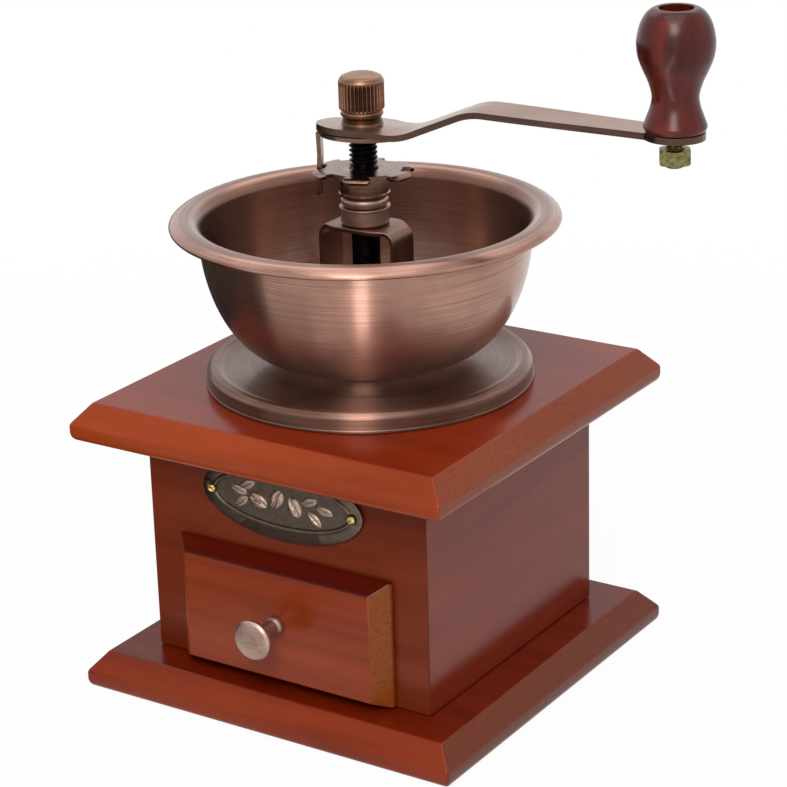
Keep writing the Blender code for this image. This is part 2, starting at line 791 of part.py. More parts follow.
def build_plate():
    half_width = PLATE_WIDTH / 2
    half_height = PLATE_HEIGHT / 2
    oval = plate(ellipse(half_width, half_height, ROUND_STEPS), PLATE_THICKNESS)
    rim_outer = ellipse(half_width - PLATE_BORDER, half_height - PLATE_BORDER, ROUND_STEPS)
    rim_edge = PLATE_BORDER + PLATE_RIM_WIDTH
    rim_inner = ellipse(half_width - rim_edge, half_height - rim_edge, ROUND_STEPS)
    rim = plate(rim_outer, PLATE_THICKNESS / 2 + PLATE_RIM_HEIGHT, [rim_inner])
    rim.data.transform(Matrix.Translation((0, 0, PLATE_THICKNESS / 2)))
    for thing in (oval, rim):
        thing.data.transform(TOWARDS_FRONT)
    finish(oval, "name_plate", bronze, (0, plate_seat, plate_middle))
    rim.location = oval.location
    join(oval, rim)
    pin_seat = plate_seat - PLATE_THICKNESS - SEAT_GAP
    for side, name in ((-1, "left_plate_pin"), (1, "right_plate_pin")):
        x = side * pin_place
        through = (x, plate_seat + OVERRUN, plate_middle)
        length = PLATE_THICKNESS + 2 * OVERRUN
        cut(oval, cylinder(PIN_RADIUS + SEAT_GAP, length, through, TINY_STEPS, TOWARDS_FRONT))
        counter = (x, plate_seat - PLATE_THICKNESS, plate_middle)
        cut(oval, cylinder(PIN_HEAD_RADIUS + SEAT_GAP, OVERRUN, counter, TINY_STEPS, TOWARDS_FRONT))
        pin = settle(pan_screw(name, PIN_RADIUS, PIN_HEAD_RADIUS, PIN_HEAD, PIN_LENGTH, (0, 0, 0), brass))
        pin.data.transform(TOWARDS_FRONT)
        finish(pin, name, brass, (x, pin_seat, plate_middle))


def build_cover_and_bowl():
    crown = COVER_HEIGHT
    edge = (COVER_RADIUS - COVER_ROUND, crown - COVER_ROUND)
    neck = (NECK_RADIUS + NECK_FILLET, crown + NECK_FILLET)
    outline = [(NECK_RADIUS, crown + NECK_HEIGHT)]
    outline += arc(neck, NECK_FILLET, 180, 270, 2)
    outline += arc(edge, COVER_ROUND, 90, 0, 4)
    outline += [(COVER_RADIUS, 0)]
    cover = turned(outline, FINE_STEPS)
    shell = cover.modifiers.new("sheet", "SOLIDIFY")
    shell.thickness = COVER_SHEET
    shell.offset = -1
    shell.use_even_offset = True
    finish(cover, "mill_cover", copper, (0, 0, mill_seat))

    breadth = RIM_RADIUS - BOWL_RADIUS
    outer = [
        (BOWL_RADIUS + breadth * along, BOWL_BODY_HEIGHT + RIM_DEPTH * up) for along, up in RIM_SHARES
    ]
    swell = BOWL_RADIUS - BOWL_FLOOR_RADIUS
    centre = (BOWL_FLOOR_RADIUS, BOWL_BODY_HEIGHT)
    body_steps = 8
    for i in range(body_steps + 1):
        angle = math.pi / 2 * i / body_steps
        outer.append((centre[0] + swell * math.cos(angle), centre[1] * (1 - math.sin(angle))))
    inner = []
    for i in range(body_steps, -1, -1):
        angle = math.pi / 2 * i / body_steps
        radius = centre[0] + (swell - BOWL_SHEET) * math.cos(angle)
        height = centre[1] - (centre[1] - BOWL_SHEET) * math.sin(angle)
        inner.append((radius, height))
    floor = [(BOWL_MOUTH_RADIUS, 0), (BOWL_MOUTH_RADIUS, BOWL_SHEET)]
    bowl = turned(outer + floor + inner, FINE_STEPS, ring=True)
    finish(bowl, "hopper_bowl", copper, (0, 0, bowl_seat))
    for side in (-1, 1):
        place = (side * BRACKET_SCREW_PLACE, 0, bowl_seat - OVERRUN)
        cut(bowl, cylinder(PAN_SCREW_RADIUS + SEAT_GAP, BOWL_SHEET + 2 * OVERRUN, place, TINY_STEPS))


def build_bracket():
    middle = BRACKET_THICKNESS / 2
    leg = BRACKET_SPAN / 2 - middle
    bend = BRACKET_BEND - middle
    foot_bend = BRACKET_FOOT_BEND
    top = BRACKET_HEIGHT - middle
    half = [(0, top)]
    half += arc((leg - bend, top - bend), bend, 90, 0)
    half += arc((leg + foot_bend, middle + foot_bend), foot_bend, 180, 270, 3)
    half += [(BRACKET_REACH, middle)]
    path = [(-x, z) for x, z in reversed(half[1:])] + half
    bracket = strip(path, BRACKET_PLATE_WIDTH, BRACKET_THICKNESS)
    finish(bracket, "bearing_bracket", copper, (0, 0, bracket_seat))
    wide = BRACKET_PLATE_WIDTH / 2 + OVERRUN
    narrow = BRACKET_LEG_WIDTH / 2
    reach = BRACKET_REACH + OVERRUN
    shoulder = BRACKET_SHOULDER
    legs = BRACKET_SHOULDER + BRACKET_TAPER
    quarter = [(shoulder, wide), (legs, narrow), (reach, narrow)]
    half_plan = [(x, -y) for x, y in quarter] + list(reversed(quarter))
    plan_view = half_plan + [(-x, -y) for x, y in half_plan]
    shape = plate(plan_view, BRACKET_HEIGHT + 2 * OVERRUN)
    shape.location = (0, 0, bracket_seat - OVERRUN)
    trim(bracket, shape)
    spigot_hole = (0, 0, bracket_top - BRACKET_THICKNESS - OVERRUN)
    cut(
        bracket,
        cylinder(SPIGOT_RADIUS + SEAT_GAP, BRACKET_THICKNESS + 2 * OVERRUN, spigot_hole, SMALL_STEPS),
    )
    for side, name in ((-1, "left_bracket_screw"), (1, "right_bracket_screw")):
        x = side * BRACKET_SCREW_PLACE
        place = (x, 0, bracket_seat - OVERRUN)
        length = BRACKET_THICKNESS + 2 * OVERRUN
        cut(bracket, cylinder(PAN_SCREW_RADIUS + SEAT_GAP, length, place, TINY_STEPS))
        seat = (x, 0, bracket_seat + BRACKET_THICKNESS + SEAT_GAP)
        pan_screw(name, PAN_SCREW_RADIUS, PAN_HEAD_RADIUS, PAN_HEAD, BRACKET_SCREW_LENGTH, seat, copper)


def build_bearing():
    stake = -SEAT_GAP - BRACKET_THICKNESS - SPIGOT_STAKE
    ease = SHAFT_CHAMFER
    outline = [
        (BUSH_RADIUS - ease, BUSH_HEIGHT),
        (BUSH_RADIUS, BUSH_HEIGHT - ease),
        (BUSH_RADIUS, ease),
        (BUSH_RADIUS - ease, 0),
        (SPIGOT_RADIUS, 0),
        (SPIGOT_RADIUS, stake),
        (bore_radius, stake),
        (bore_radius, BUSH_HEIGHT),
    ]
    bush = turned(outline, SMALL_STEPS, ring=True)
    finish(bush, "bearing_bush", copper, (0, 0, bush_seat))

    waist = (THRUST_LIP_RADIUS + THRUST_RADIUS) / 2 - THRUST_LIP
    bulge_top = THRUST_HEIGHT - THRUST_LIP
    outline = [(THRUST_LIP_RADIUS, THRUST_HEIGHT), (THRUST_LIP_RADIUS, bulge_top), (waist, bulge_top)]
    for i in range(1, ARC_STEPS):
        share = i / ARC_STEPS
        swell = (THRUST_RADIUS - waist) * math.sin(math.pi * share)
        outline.append((waist + swell, bulge_top - (bulge_top - THRUST_LIP) * share))
    outline += [(waist, THRUST_LIP), (THRUST_LIP_RADIUS, THRUST_LIP), (THRUST_LIP_RADIUS, 0)]
    outline += [(bore_radius, 0), (bore_radius, THRUST_HEIGHT)]
    collar = turned(outline, SMALL_STEPS, ring=True)
    finish(collar, "thrust_collar", copper, (0, 0, thrust_seat))


def wheel_outline():
    """Star wheel: lobes with eased corners between notches that take the lock plate's finger."""
    half_notch = FINGER_WIDTH / 2 + NOTCH_SIDE_GAP
    pitch = 2 * math.pi / WHEEL_LOBES
    floor_angle = math.asin(half_notch / NOTCH_RADIUS)
    flank_angle = math.asin(half_notch / (WHEEL_RADIUS - LOBE_ROUND))
    crest_angle = math.asin((half_notch + LOBE_ROUND) / WHEEL_RADIUS)
    points = []
    for i in range(WHEEL_LOBES):
        notch = FINGER_ANGLE + i * pitch
        half = [(NOTCH_RADIUS, floor_angle), (WHEEL_RADIUS - LOBE_ROUND, flank_angle)]
        for step in range(ARC_STEPS):
            share = step / ARC_STEPS
            half.append((WHEEL_RADIUS, crest_angle + (pitch / 2 - crest_angle) * share))
        half.append((WHEEL_RADIUS, pitch / 2))
        sweep = [(radius, -angle) for radius, angle in reversed(half[:-1])]
        for radius, angle in sweep + half:
            turn = notch + angle
            points.append((radius * math.cos(turn), radius * math.sin(turn)))
    return points


def build_adjuster():
    ease = SHAFT_CHAMFER
    rise = NUT_HEIGHT + SEAT_GAP + WHEEL_THICKNESS
    outline = [
        (SPIGOT_RADIUS, rise),
        (SPIGOT_RADIUS, NUT_HEIGHT),
        (NUT_RADIUS, NUT_HEIGHT),
        (NUT_RADIUS, ease),
        (NUT_RADIUS - ease, 0),
        (bore_radius, 0),
        (bore_radius, rise),
    ]
    nut = turned(outline, SMALL_STEPS, ring=True)
    finish(nut, "adjusting_nut", copper, (0, 0, nut_seat), crank_axis)
    hole = circle(SPIGOT_RADIUS + SEAT_GAP, SMALL_STEPS)
    wheel = plate(wheel_outline(), WHEEL_THICKNESS, [hole])
    finish(wheel, "adjusting_wheel", copper, (0, 0, wheel_seat), crank_axis)


def flats_outline(gap):
    """A circle of the shaft's radius with two flats, grown by a gap."""
    radius = SHAFT_RADIUS + gap
    half = FLATS_WIDTH / 2 + gap
    swing = math.degrees(math.asin(half / radius))
    return arc((0, 0), radius, -swing, swing) + arc((0, 0), radius, 180 - swing, 180 + swing)


def build_shaft():
    shoulder = burr_seat + BURR_HEIGHT + SEAT_GAP
    tail = bridge_top - BRIDGE_THICKNESS - BRIDGE_BOSS - SHAFT_TAIL
    head = cap_seat + CAP_BORE_DEPTH - SEAT_GAP
    ease = SHAFT_CHAMFER
    flats_start = lock_seat - SEAT_GAP
    outline = [
        (0, flats_start),
        (SHAFT_RADIUS, flats_start),
        (SHAFT_RADIUS, shoulder),
        (SHAFT_END_RADIUS, shoulder),
        (SHAFT_END_RADIUS, tail + ease),
        (SHAFT_END_RADIUS - ease, tail),
        (0, tail),
    ]
    outline = [(radius, height - nut_seat) for radius, height in outline]
    shaft = turned(outline, SMALL_STEPS)
    finish(shaft, "shaft", black_steel, (0, 0, nut_seat), crank_axis)
    flats = plate(flats_outline(0), head - flats_start + ease)
    flats.location = (0, 0, flats_start - ease)
    join(shaft, flats)


def build_lock_plate():
    hole = flats_outline(SEAT_GAP)
    lock = plate(circle(LOCK_RADIUS, ROUND_STEPS), LOCK_THICKNESS, [hole])
    finish(lock, "lock_plate", copper, (0, 0, lock_seat), crank_axis)
    middle = LOCK_THICKNESS / 2
    bend = FINGER_BEND
    path = [(LOCK_RADIUS / 2, middle)]
    path += arc((FINGER_RADIUS - bend, middle - bend), bend, 90, 0)
    path += [(FINGER_RADIUS, -FINGER_DROP / 2), (FINGER_RADIUS + FINGER_FLARE, -FINGER_DROP)]
    finger = strip(path, FINGER_WIDTH, FINGER_THICKNESS)
    finger.rotation_euler = (0, 0, FINGER_ANGLE)
    finger.location = (0, 0, lock_seat)
    join(lock, finger)


def crank_path():
    """Side view of the arm: flat boss, sloping neck and flat outer length, with bent corners."""
    middle = CRANK_THICKNESS / 2
    slope = math.atan2(CRANK_RISE, CRANK_SLOPE)
    tangent = CRANK_BEND * math.tan(slope / 2)
    low = CRANK_FLAT - tangent
    high = CRANK_FLAT + CRANK_SLOPE + tangent
    degrees = math.degrees(slope)
    path = [(-CRANK_BOSS_RADIUS - OVERRUN, middle)]
    path += arc((low, middle + CRANK_BEND), CRANK_BEND, -90, degrees - 90)
    path += arc((high, middle + CRANK_RISE - CRANK_BEND), CRANK_BEND, 90 + degrees, 90)
    path += [(CRANK_RADIUS + CRANK_END_RADIUS + OVERRUN, middle + CRANK_RISE)]
    return path


def build_crank():
    arm = strip(crank_path(), 2 * CRANK_BOSS_RADIUS + 2 * OVERRUN, CRANK_THICKNESS)
    finish(arm, "crank_arm", copper, (0, 0, crank_seat), crank_axis)
    taper_end = math.hypot(CRANK_TAPER, CRANK_WIDTH / 2)
    taper_turn = math.atan2(CRANK_WIDTH / 2, CRANK_TAPER)
    boss_meets = math.degrees(taper_turn + math.acos(CRANK_BOSS_RADIUS / taper_end))
    end_meets = math.degrees(math.asin(CRANK_WIDTH / 2 / CRANK_END_RADIUS))
    plan = [(CRANK_TAPER, CRANK_WIDTH / 2)]
    plan += arc((0, 0), CRANK_BOSS_RADIUS, boss_meets, 360 - boss_meets, ROUND_STEPS)
    plan += [(CRANK_TAPER, -CRANK_WIDTH / 2)]
    plan += arc((CRANK_RADIUS, 0), CRANK_END_RADIUS, end_meets - 180, 180 - end_meets, SMALL_STEPS)
    height = CRANK_RISE + CRANK_THICKNESS + 2 * OVERRUN
    shape = plate(plan, height)
    shape.location = (0, 0, crank_seat - OVERRUN)
    trim(arm, shape)
    keyhole = plate(flats_outline(SEAT_GAP), CRANK_THICKNESS + 2 * OVERRUN)
    keyhole.location = (0, 0, crank_seat - OVERRUN)
    cut(arm, keyhole)
    bolt_hole = (CRANK_RADIUS, 0, arm_level - OVERRUN)
    cut(arm, cylinder(BOLT_RADIUS + SEAT_GAP, CRANK_THICKNESS + 2 * OVERRUN, bolt_hole, SMALL_STEPS))


def build_cap():
    """Cap nut: turned body whose knurl has every second edge drawn in as a flute."""
    knurl_foot = CAP_HEIGHT * CAP_NECK_SHARES["knurl_end"]
    knurl_top = knurl_foot + CAP_KNURL_LENGTH
    ring_top = CAP_HEIGHT * CAP_NECK_SHARES["ring_top"]
    ring_foot_height = CAP_HEIGHT * CAP_NECK_SHARES["ring_foot"]
    groove = CAP_HEIGHT * CAP_NECK_SHARES["groove"]
    dome_foot = CAP_HEIGHT - CAP_DOME
    bore = bore_radius
    outline = [
        (0, CAP_HEIGHT),
        (CAP_RADIUS * DOME_SHARE, CAP_HEIGHT - CAP_DOME / 3),
        (CAP_RADIUS, dome_foot),
        (CAP_RADIUS, knurl_top),
        (CAP_RADIUS, knurl_foot),
        (CAP_GROOVE_RADIUS, ring_top),
        (CAP_RING_RADIUS, ring_top - (ring_top - ring_foot_height) / 2),
        (CAP_GROOVE_RADIUS, ring_foot_height),
        (CAP_GROOVE_RADIUS, groove),
        (CAP_RING_RADIUS, groove / 2),
        (CAP_RING_RADIUS, 0),
        (bore, 0),
        (bore, CAP_BORE_DEPTH),
        (0, CAP_BORE_DEPTH),
    ]
    cap = settle(turned(outline, 2 * CAP_FLUTES))
    for vert in cap.data.vertices:
        radius = math.hypot(vert.co.x, vert.co.y)
        in_knurl = knurl_foot - MERGE < vert.co.z < knurl_top + MERGE
        step = round(math.atan2(vert.co.y, vert.co.x) * CAP_FLUTES / math.pi)
        if in_knurl and radius > CAP_RADIUS - MERGE and step % 2:
            vert.co.x *= 1 - CAP_FLUTE_DEPTH / CAP_RADIUS
            vert.co.y *= 1 - CAP_FLUTE_DEPTH / CAP_RADIUS
    finish(cap, "cap_nut", copper, (0, 0, cap_seat), crank_axis)


def hex_nut(name, width, height, bore, place, material, parent):
    """A six sided nut with its corners turned down at both ends."""
    corner = width / math.sqrt(3)
    nut = plate(circle(corner, 6), height, [circle(bore, TINY_STEPS)])
    ease = height / 6
    outline = [
        (0, height + ease),
        (corner * HEX_ROUND_SHARE - ease, height + ease),
        (corner + ease, height - 2 * ease),
        (corner + ease, 2 * ease),
        (corner * HEX_ROUND_SHARE - ease, -ease),
        (0, -ease),
    ]
    finish(nut, name, material, place, parent)
    turning = turned(outline, SMALL_STEPS)
    turning.location = place
    trim(nut, turning)
    return nut


def build_grip():
    bore = BOLT_RADIUS + RUN_GAP
    floor = GRIP_HEIGHT - GRIP_MOUTH_DEPTH
    mouth_top = GRIP_HEIGHT * GRIP_SHARES[0][1]
    outline = [(GRIP_RADIUS * radius, GRIP_HEIGHT * height) for radius, height in GRIP_SHARES]
    outline += [(bore, 0), (bore, floor), (GRIP_MOUTH_RADIUS, floor), (GRIP_MOUTH_RADIUS, mouth_top)]
    grip = turned(outline, GRIP_STEPS, ring=True)
    finish(grip, "grip", grip_wood, (CRANK_RADIUS, 0, grip_seat), grip_axis)

    nut_top = arm_level - HEX_NUT_DROP
    nut_foot = nut_top - HEX_NUT_HEIGHT
    head_seat = grip_seat + floor + SEAT_GAP
    length = head_seat - nut_foot + BOLT_TAIL
    bolt = pan_screw(
        "grip_bolt", BOLT_RADIUS, BOLT_HEAD_RADIUS, BOLT_HEAD, length, (CRANK_RADIUS, 0, head_seat), zinc
    )
    bolt.parent = crank_axis
    bolt.location -= crank_axis.location
    place = (CRANK_RADIUS, 0, nut_foot)
    hex_nut("grip_nut", HEX_NUT_WIDTH, HEX_NUT_HEIGHT, BOLT_RADIUS + SEAT_GAP, place, zinc, crank_axis)


def ring_bore_levels():
    """Heights above the ring burr's foot with the radius of the tooth tips and the depth there."""
    top = neck_top - ring_foot
    depth = RING_TOOTH_DEPTH
    yield (-OVERRUN, RING_MOUTH_RADIUS, depth)
    yield (0, RING_MOUTH_RADIUS, depth)
    yield (RING_THROAT_HEIGHT, RING_THROAT_RADIUS, depth)
    yield (RING_TEETH_HEIGHT, RING_SHOULDER_RADIUS, depth / 8)
    yield (top, BOWL_MOUTH_RADIUS, depth / 8)
    yield (top + OVERRUN, BOWL_MOUTH_RADIUS, depth / 8)


def build_ring_burr():
    """Outer burr: flanged housing whose bore is a cone of leaning teeth."""
    neck = NECK_RADIUS - COVER_SHEET - SEAT_GAP
    flange_top = mill_seat + RING_FLANGE
    outline = [
        (0, neck_top),
        (neck, neck_top),
        (neck, flange_top),
        (RING_FLANGE_RADIUS, flange_top),
        (RING_FLANGE_RADIUS, mill_seat),
        (RING_RADIUS, mill_seat),
        (RING_RADIUS, ring_foot),
        (0, ring_foot),
    ]
    outline = [(radius, height - ring_foot) for radius, height in outline]
    ring = turned(outline, ROUND_STEPS)
    finish(ring, "ring_burr", cast_steel, (0, 0, ring_foot))
    rings = []
    for height, tip, depth in ring_bore_levels():
        twist = -BURR_TWIST * height / RING_THROAT_HEIGHT
        rings.append(toothed_ring(tip, tip + depth, RING_TEETH, height, twist, 0.7))
    core = loft(rings)
    core.location = (0, 0, ring_foot)
    cut(ring, core)
    for side in (-1, 1):
        hole = PAN_SCREW_RADIUS + SEAT_GAP
        reach = BRACKET_SCREW_LENGTH - BRACKET_THICKNESS
        place = (side * BRACKET_SCREW_PLACE, 0, bracket_seat - reach)
        cut(ring, cylinder(hole, reach + OVERRUN, place, TINY_STEPS))
        hole = BRIDGE_SCREW_RADIUS + SEAT_GAP
        reach = BRIDGE_SCREW_LENGTH - BRIDGE_THICKNESS
        place = (0, side * bridge_screw_place, ring_foot - OVERRUN)
        cut(ring, cylinder(hole, reach + OVERRUN, place, TINY_STEPS))
    for i, (x, y) in enumerate(mill_screw_places()):
        seat = screw_seat(
            WOOD_SCREW_RADIUS,
            WOOD_SCREW_HEAD_RADIUS,
            WOOD_SCREW_HEAD,
            RING_FLANGE + OVERRUN,
            (x, y, flange_top),
            True,
        )
        cut(ring, seat)
        place = (x, y, flange_top - SEAT_GAP)
        wood_screw(f"mill_screw_{i + 1}", MILL_SCREW_LENGTH, place, False)


def build_inner_burr():
    """Inner burr: a crown of leaning, twisted teeth under four spiral blades that break the beans."""
    rings = []
    crown_steps = 4
    for i in range(crown_steps + 1):
        share = i / crown_steps
        tip = BURR_RADIUS + (BURR_WAIST_RADIUS - BURR_RADIUS) * share
        root = tip - BURR_TOOTH_DEPTH
        height = BURR_CROWN_HEIGHT * share
        rings.append(toothed_ring(tip, root, BURR_TEETH, height, BURR_TWIST * share, 0.7))
    crown = loft(rings)
    finish(crown, "inner_burr", cast_steel, (0, 0, burr_seat), crank_axis)

    rings = []
    blade_steps = 8
    facets = 7
    lowest = BURR_CROWN_HEIGHT - OVERRUN / 2
    for i in range(blade_steps + 1):
        share = i / blade_steps
        tip = BURR_WAIST_RADIUS - BURR_TOOTH_DEPTH + (BURR_TOP_RADIUS - BURR_WAIST_RADIUS + BURR_TOOTH_DEPTH) * share
        root = max(tip - BURR_BLADE_DEPTH, end_bore_radius + BURR_ROOT_WALL)
        ring = []
        for blade in range(BURR_BLADES):
            for facet in range(facets):
                part = facet / facets
                radius = root + (tip - root) * part ** 2
                angle = BLADE_TWIST * share + 2 * math.pi * (blade + part) / BURR_BLADES
                height = lowest + (BURR_HEIGHT - lowest) * share
                ring.append((radius * math.cos(angle), radius * math.sin(angle), height))
        rings.append(ring)
    blades = loft(rings)
    blades.location = (0, 0, burr_seat)
    join(crown, blades)
    bore = cylinder(end_bore_radius, BURR_HEIGHT + 2 * OVERRUN, (0, 0, burr_seat - OVERRUN), SMALL_STEPS)
    cut(crown, bore)

    place = (0, 0, burr_seat - SEAT_GAP - BURR_NUT_HEIGHT)
    hex_nut("burr_nut", BURR_NUT_WIDTH, BURR_NUT_HEIGHT, end_bore_radius, place, zinc, crank_axis)


def build_bridge():
    """Lower bearing: a bar across the ring burr's foot with a boss that guides the shaft's end."""
    half_width = BRIDGE_WIDTH / 2
    half_length = RING_RADIUS - BRIDGE_INSET
    straight = math.sqrt(half_length ** 2 - half_width ** 2)
    swing = math.degrees(math.asin(half_width / half_length))
    outline = arc((0, 0), half_length, 90 - swing, 90 + swing, ARC_STEPS)
    outline += arc((0, 0), half_length, 270 - swing, 270 + swing, ARC_STEPS)
    bar = plate(outline, BRIDGE_THICKNESS)
    foot = bridge_top - BRIDGE_THICKNESS
    finish(bar, "lower_bearing_bridge", cast_steel, (0, 0, foot))
    join(bar, cylinder(BRIDGE_BOSS_RADIUS, BRIDGE_BOSS + BRIDGE_THICKNESS / 2, (0, 0, foot - BRIDGE_BOSS), SMALL_STEPS))
    depth = BRIDGE_THICKNESS + BRIDGE_BOSS + 2 * OVERRUN
    cut(bar, cylinder(end_bore_radius, depth, (0, 0, foot - BRIDGE_BOSS - OVERRUN), SMALL_STEPS))
    for side, name in ((-1, "front_bridge_screw"), (1, "back_bridge_screw")):
        y = side * bridge_screw_place
        place = (0, y, foot - OVERRUN)
        cut(bar, cylinder(BRIDGE_SCREW_RADIUS + SEAT_GAP, depth, place, TINY_STEPS))
        seat = (0, y, foot - SEAT_GAP)
        pan_screw(
            name, BRIDGE_SCREW_RADIUS, BRIDGE_HEAD_RADIUS, BRIDGE_HEAD, BRIDGE_SCREW_LENGTH, seat, zinc, True
        )


build_case()
build_drawer()
build_plate()
build_cover_and_bowl()
build_bracket()
build_bearing()
build_adjuster()
build_shaft()
build_lock_plate()
build_crank()
build_cap()
build_grip()
build_ring_burr()
build_inner_burr()
build_bridge()
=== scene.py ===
import math
from functools import partial
import bmesh
import bpy
from mathutils import Matrix, Vector


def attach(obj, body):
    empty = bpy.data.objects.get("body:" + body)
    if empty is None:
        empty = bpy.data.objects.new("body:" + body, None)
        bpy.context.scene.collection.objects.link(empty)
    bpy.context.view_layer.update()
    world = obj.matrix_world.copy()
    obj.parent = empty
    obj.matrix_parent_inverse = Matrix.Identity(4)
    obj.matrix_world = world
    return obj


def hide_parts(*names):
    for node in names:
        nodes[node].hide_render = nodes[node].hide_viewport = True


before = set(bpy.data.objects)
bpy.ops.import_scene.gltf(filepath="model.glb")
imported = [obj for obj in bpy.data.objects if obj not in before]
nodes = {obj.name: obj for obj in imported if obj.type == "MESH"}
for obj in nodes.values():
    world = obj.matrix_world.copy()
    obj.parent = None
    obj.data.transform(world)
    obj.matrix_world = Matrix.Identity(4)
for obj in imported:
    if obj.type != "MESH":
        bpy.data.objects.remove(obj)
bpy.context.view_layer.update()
mm = 0.001
print("grinder: frame loaded,", len(nodes), "nodes")


# Colour and node helpers

def hexColor(code):
    channels = [int(code[i:i + 2], 16) / 255 for i in (1, 3, 5)]
    linear = [c / 12.92 if c <= 0.04045 else ((c + 0.055) / 1.055) ** 2.4 for c in channels]
    return (*linear, 1.0)


def linkInputs(tree, node, links):  # a node given as the source stands for its first output
    for name, source in links.items():
        tree.links.new(getattr(source, "outputs", [source])[0], node.inputs[name])


def addNode(tree, kind, settings=None, links=None):
    node = tree.nodes.new("ShaderNode" + kind)
    for name, value in (settings or {}).items():
        if name == "stops":  # a colour ramp's stops: position and hex colour
            ramp = node.color_ramp
            while len(ramp.elements) < len(value):
                ramp.elements.new(0.5)
            for stop, (position, code) in zip(ramp.elements, value):
                stop.position = position
                stop.color = hexColor(code)
        elif isinstance(name, int) or name in node.inputs:
            node.inputs[name].default_value = value
        else:
            setattr(node, name, value)
    linkInputs(tree, node, links or {})
    return node


def newMaterial(name, shaderSettings):
    material = bpy.data.materials.new(name)
    material.use_nodes = True
    tree = material.node_tree
    shader = tree.nodes["Principled BSDF"]
    for key, value in shaderSettings.items():
        shader.inputs[key].default_value = value
    return material, tree, shader


# Mesh helpers, all in millimetres

def rounded(points, steps=5, closed=True):  # (across, up, corner radius) to a line with round corners
    result = []
    count = len(points)
    for i, (x, z, radius) in enumerate(points):
        here = Vector((x, z))
        if radius <= 0 or (not closed and i in (0, count - 1)):
            result.append((x, z))
            continue
        before = Vector(points[i - 1][:2]) - here
        after = Vector(points[(i + 1) % count][:2]) - here
        turn = before.angle(after)
        reach = min(radius / math.tan(turn / 2), before.length * 0.49, after.length * 0.49)
        start = here + before.normalized() * reach
        end = here + after.normalized() * reach
        for k in range(steps + 1):
            t = k / steps
            point = start * (1 - t) ** 2 + here * 2 * t * (1 - t) + end * t ** 2
            result.append((point.x, point.y))
    return result


def smoothLine(points, steps):  # a curve through all the points
    result = []
    for i in range(len(points) - 1):
        p0 = Vector(points[max(i - 1, 0)])
        p1, p2 = Vector(points[i]), Vector(points[i + 1])
        p3 = Vector(points[min(i + 2, len(points) - 1)])
        for k in range(steps):
            t = k / steps
            point = 0.5 * (2 * p1 + (p2 - p0) * t + (2 * p0 - 5 * p1 + 4 * p2 - p3) * t ** 2
                           + (3 * p1 - p0 - 3 * p2 + p3) * t ** 3)
            result.append(tuple(point))
    result.append(tuple(points[-1]))
    return result


def easeIn(t):  # 0 to 1 with a soft start and end
    return t * t * (3 - 2 * t)


def shade(mesh, sharp):
    mesh.shade_smooth()
    mesh.set_sharp_from_angle(angle=math.radians(sharp))


def meshPiece(name, verts, faces, material, sharp=38):
    mesh = bpy.data.meshes.new(name)
    mesh.from_pydata([Vector(v) * mm for v in verts], [], faces)
    build = bmesh.new()
    build.from_mesh(mesh)
    bmesh.ops.remove_doubles(build, verts=build.verts, dist=1e-6)
    bmesh.ops.recalc_face_normals(build, faces=build.faces)
    build.to_mesh(mesh)
    build.free()
    shade(mesh, sharp)
    piece = bpy.data.objects.new(name, mesh)
    bpy.context.scene.collection.objects.link(piece)
    mesh.materials.append(material)
    return piece


def gridFaces(rows, columns, wrap):
    faces = []
    for i in range(rows - 1):
        for j in range(columns if wrap else columns - 1):
            k = (j + 1) % columns
            faces.append((i * columns + j, i * columns + k, (i + 1) * columns + k, (i + 1) * columns + j))
    return faces


def tubeFaces(rows, columns):  # rows round an axis, closed at both ends
    last = (rows - 1) * columns
    return gridFaces(rows, columns, True) + [tuple(range(columns)), tuple(range(last, last + columns))]


def disc(radius, steps=48, x=0, y=0):
    angles = [2 * math.pi * k / steps for k in range(steps)]
    return [(x + radius * math.cos(angle), y + radius * math.sin(angle)) for angle in angles]


def rectangle(halfX, halfY, x=0):
    return [(x - halfX, -halfY), (x + halfX, -halfY), (x + halfX, halfY), (x - halfX, halfY)]


def lathe(name, profile, material, steps=96, ring=False, x=0, wobble=None, sharp=38):
    verts = []
    for radius, z in profile:
        for k in range(steps):
            angle = 2 * math.pi * k / steps
            r = wobble(radius, z, angle) if wobble else radius
            verts.append((x + r * math.cos(angle), r * math.sin(angle), z))
    faces = gridFaces(len(profile), steps, True)
    if ring:  # the last row joins the first, as in a hollow or bored piece
        last = (len(profile) - 1) * steps
        for k in range(steps):
            n = (k + 1) % steps
            faces.append((last + k, last + n, n, k))
    return meshPiece(name, verts, faces, material, sharp)


def threadRow(z, spec, x=0, fade=1.0):  # points round a thread at one height, crest and root flattened
    row = []
    for k in range(spec["steps"]):
        phase = (z / spec["pitch"] - k / spec["steps"]) % 1.0
        crest = max(0.0, min(1.0, abs(phase * 2 - 1) * 1.5 - 0.25))
        radius = (spec["root"] + spec["depth"] * crest) * fade
        angle = 2 * math.pi * k / spec["steps"]
        row.append((x + radius * math.cos(angle), radius * math.sin(angle), z))
    return row


def prism(name, outline, low, high, material, axis="Z"):
    turn = {
        "Z": lambda a, b, c: (a, b, c),
        "Y": lambda a, b, c: (a, c, b),
        "X": lambda a, b, c: (c, a, b),
    }[axis]
    count = len(outline)
    verts = [turn(a, b, low) for a, b in outline] + [turn(a, b, high) for a, b in outline]
    faces = [tuple(range(count)), tuple(range(count, 2 * count))] + gridFaces(2, count, True)
    return meshPiece(name, verts, faces, material)


def addModifier(piece, kind, **settings):
    modifier = piece.modifiers.new(kind.lower(), kind)
    for name, value in settings.items():
        setattr(modifier, name, value)


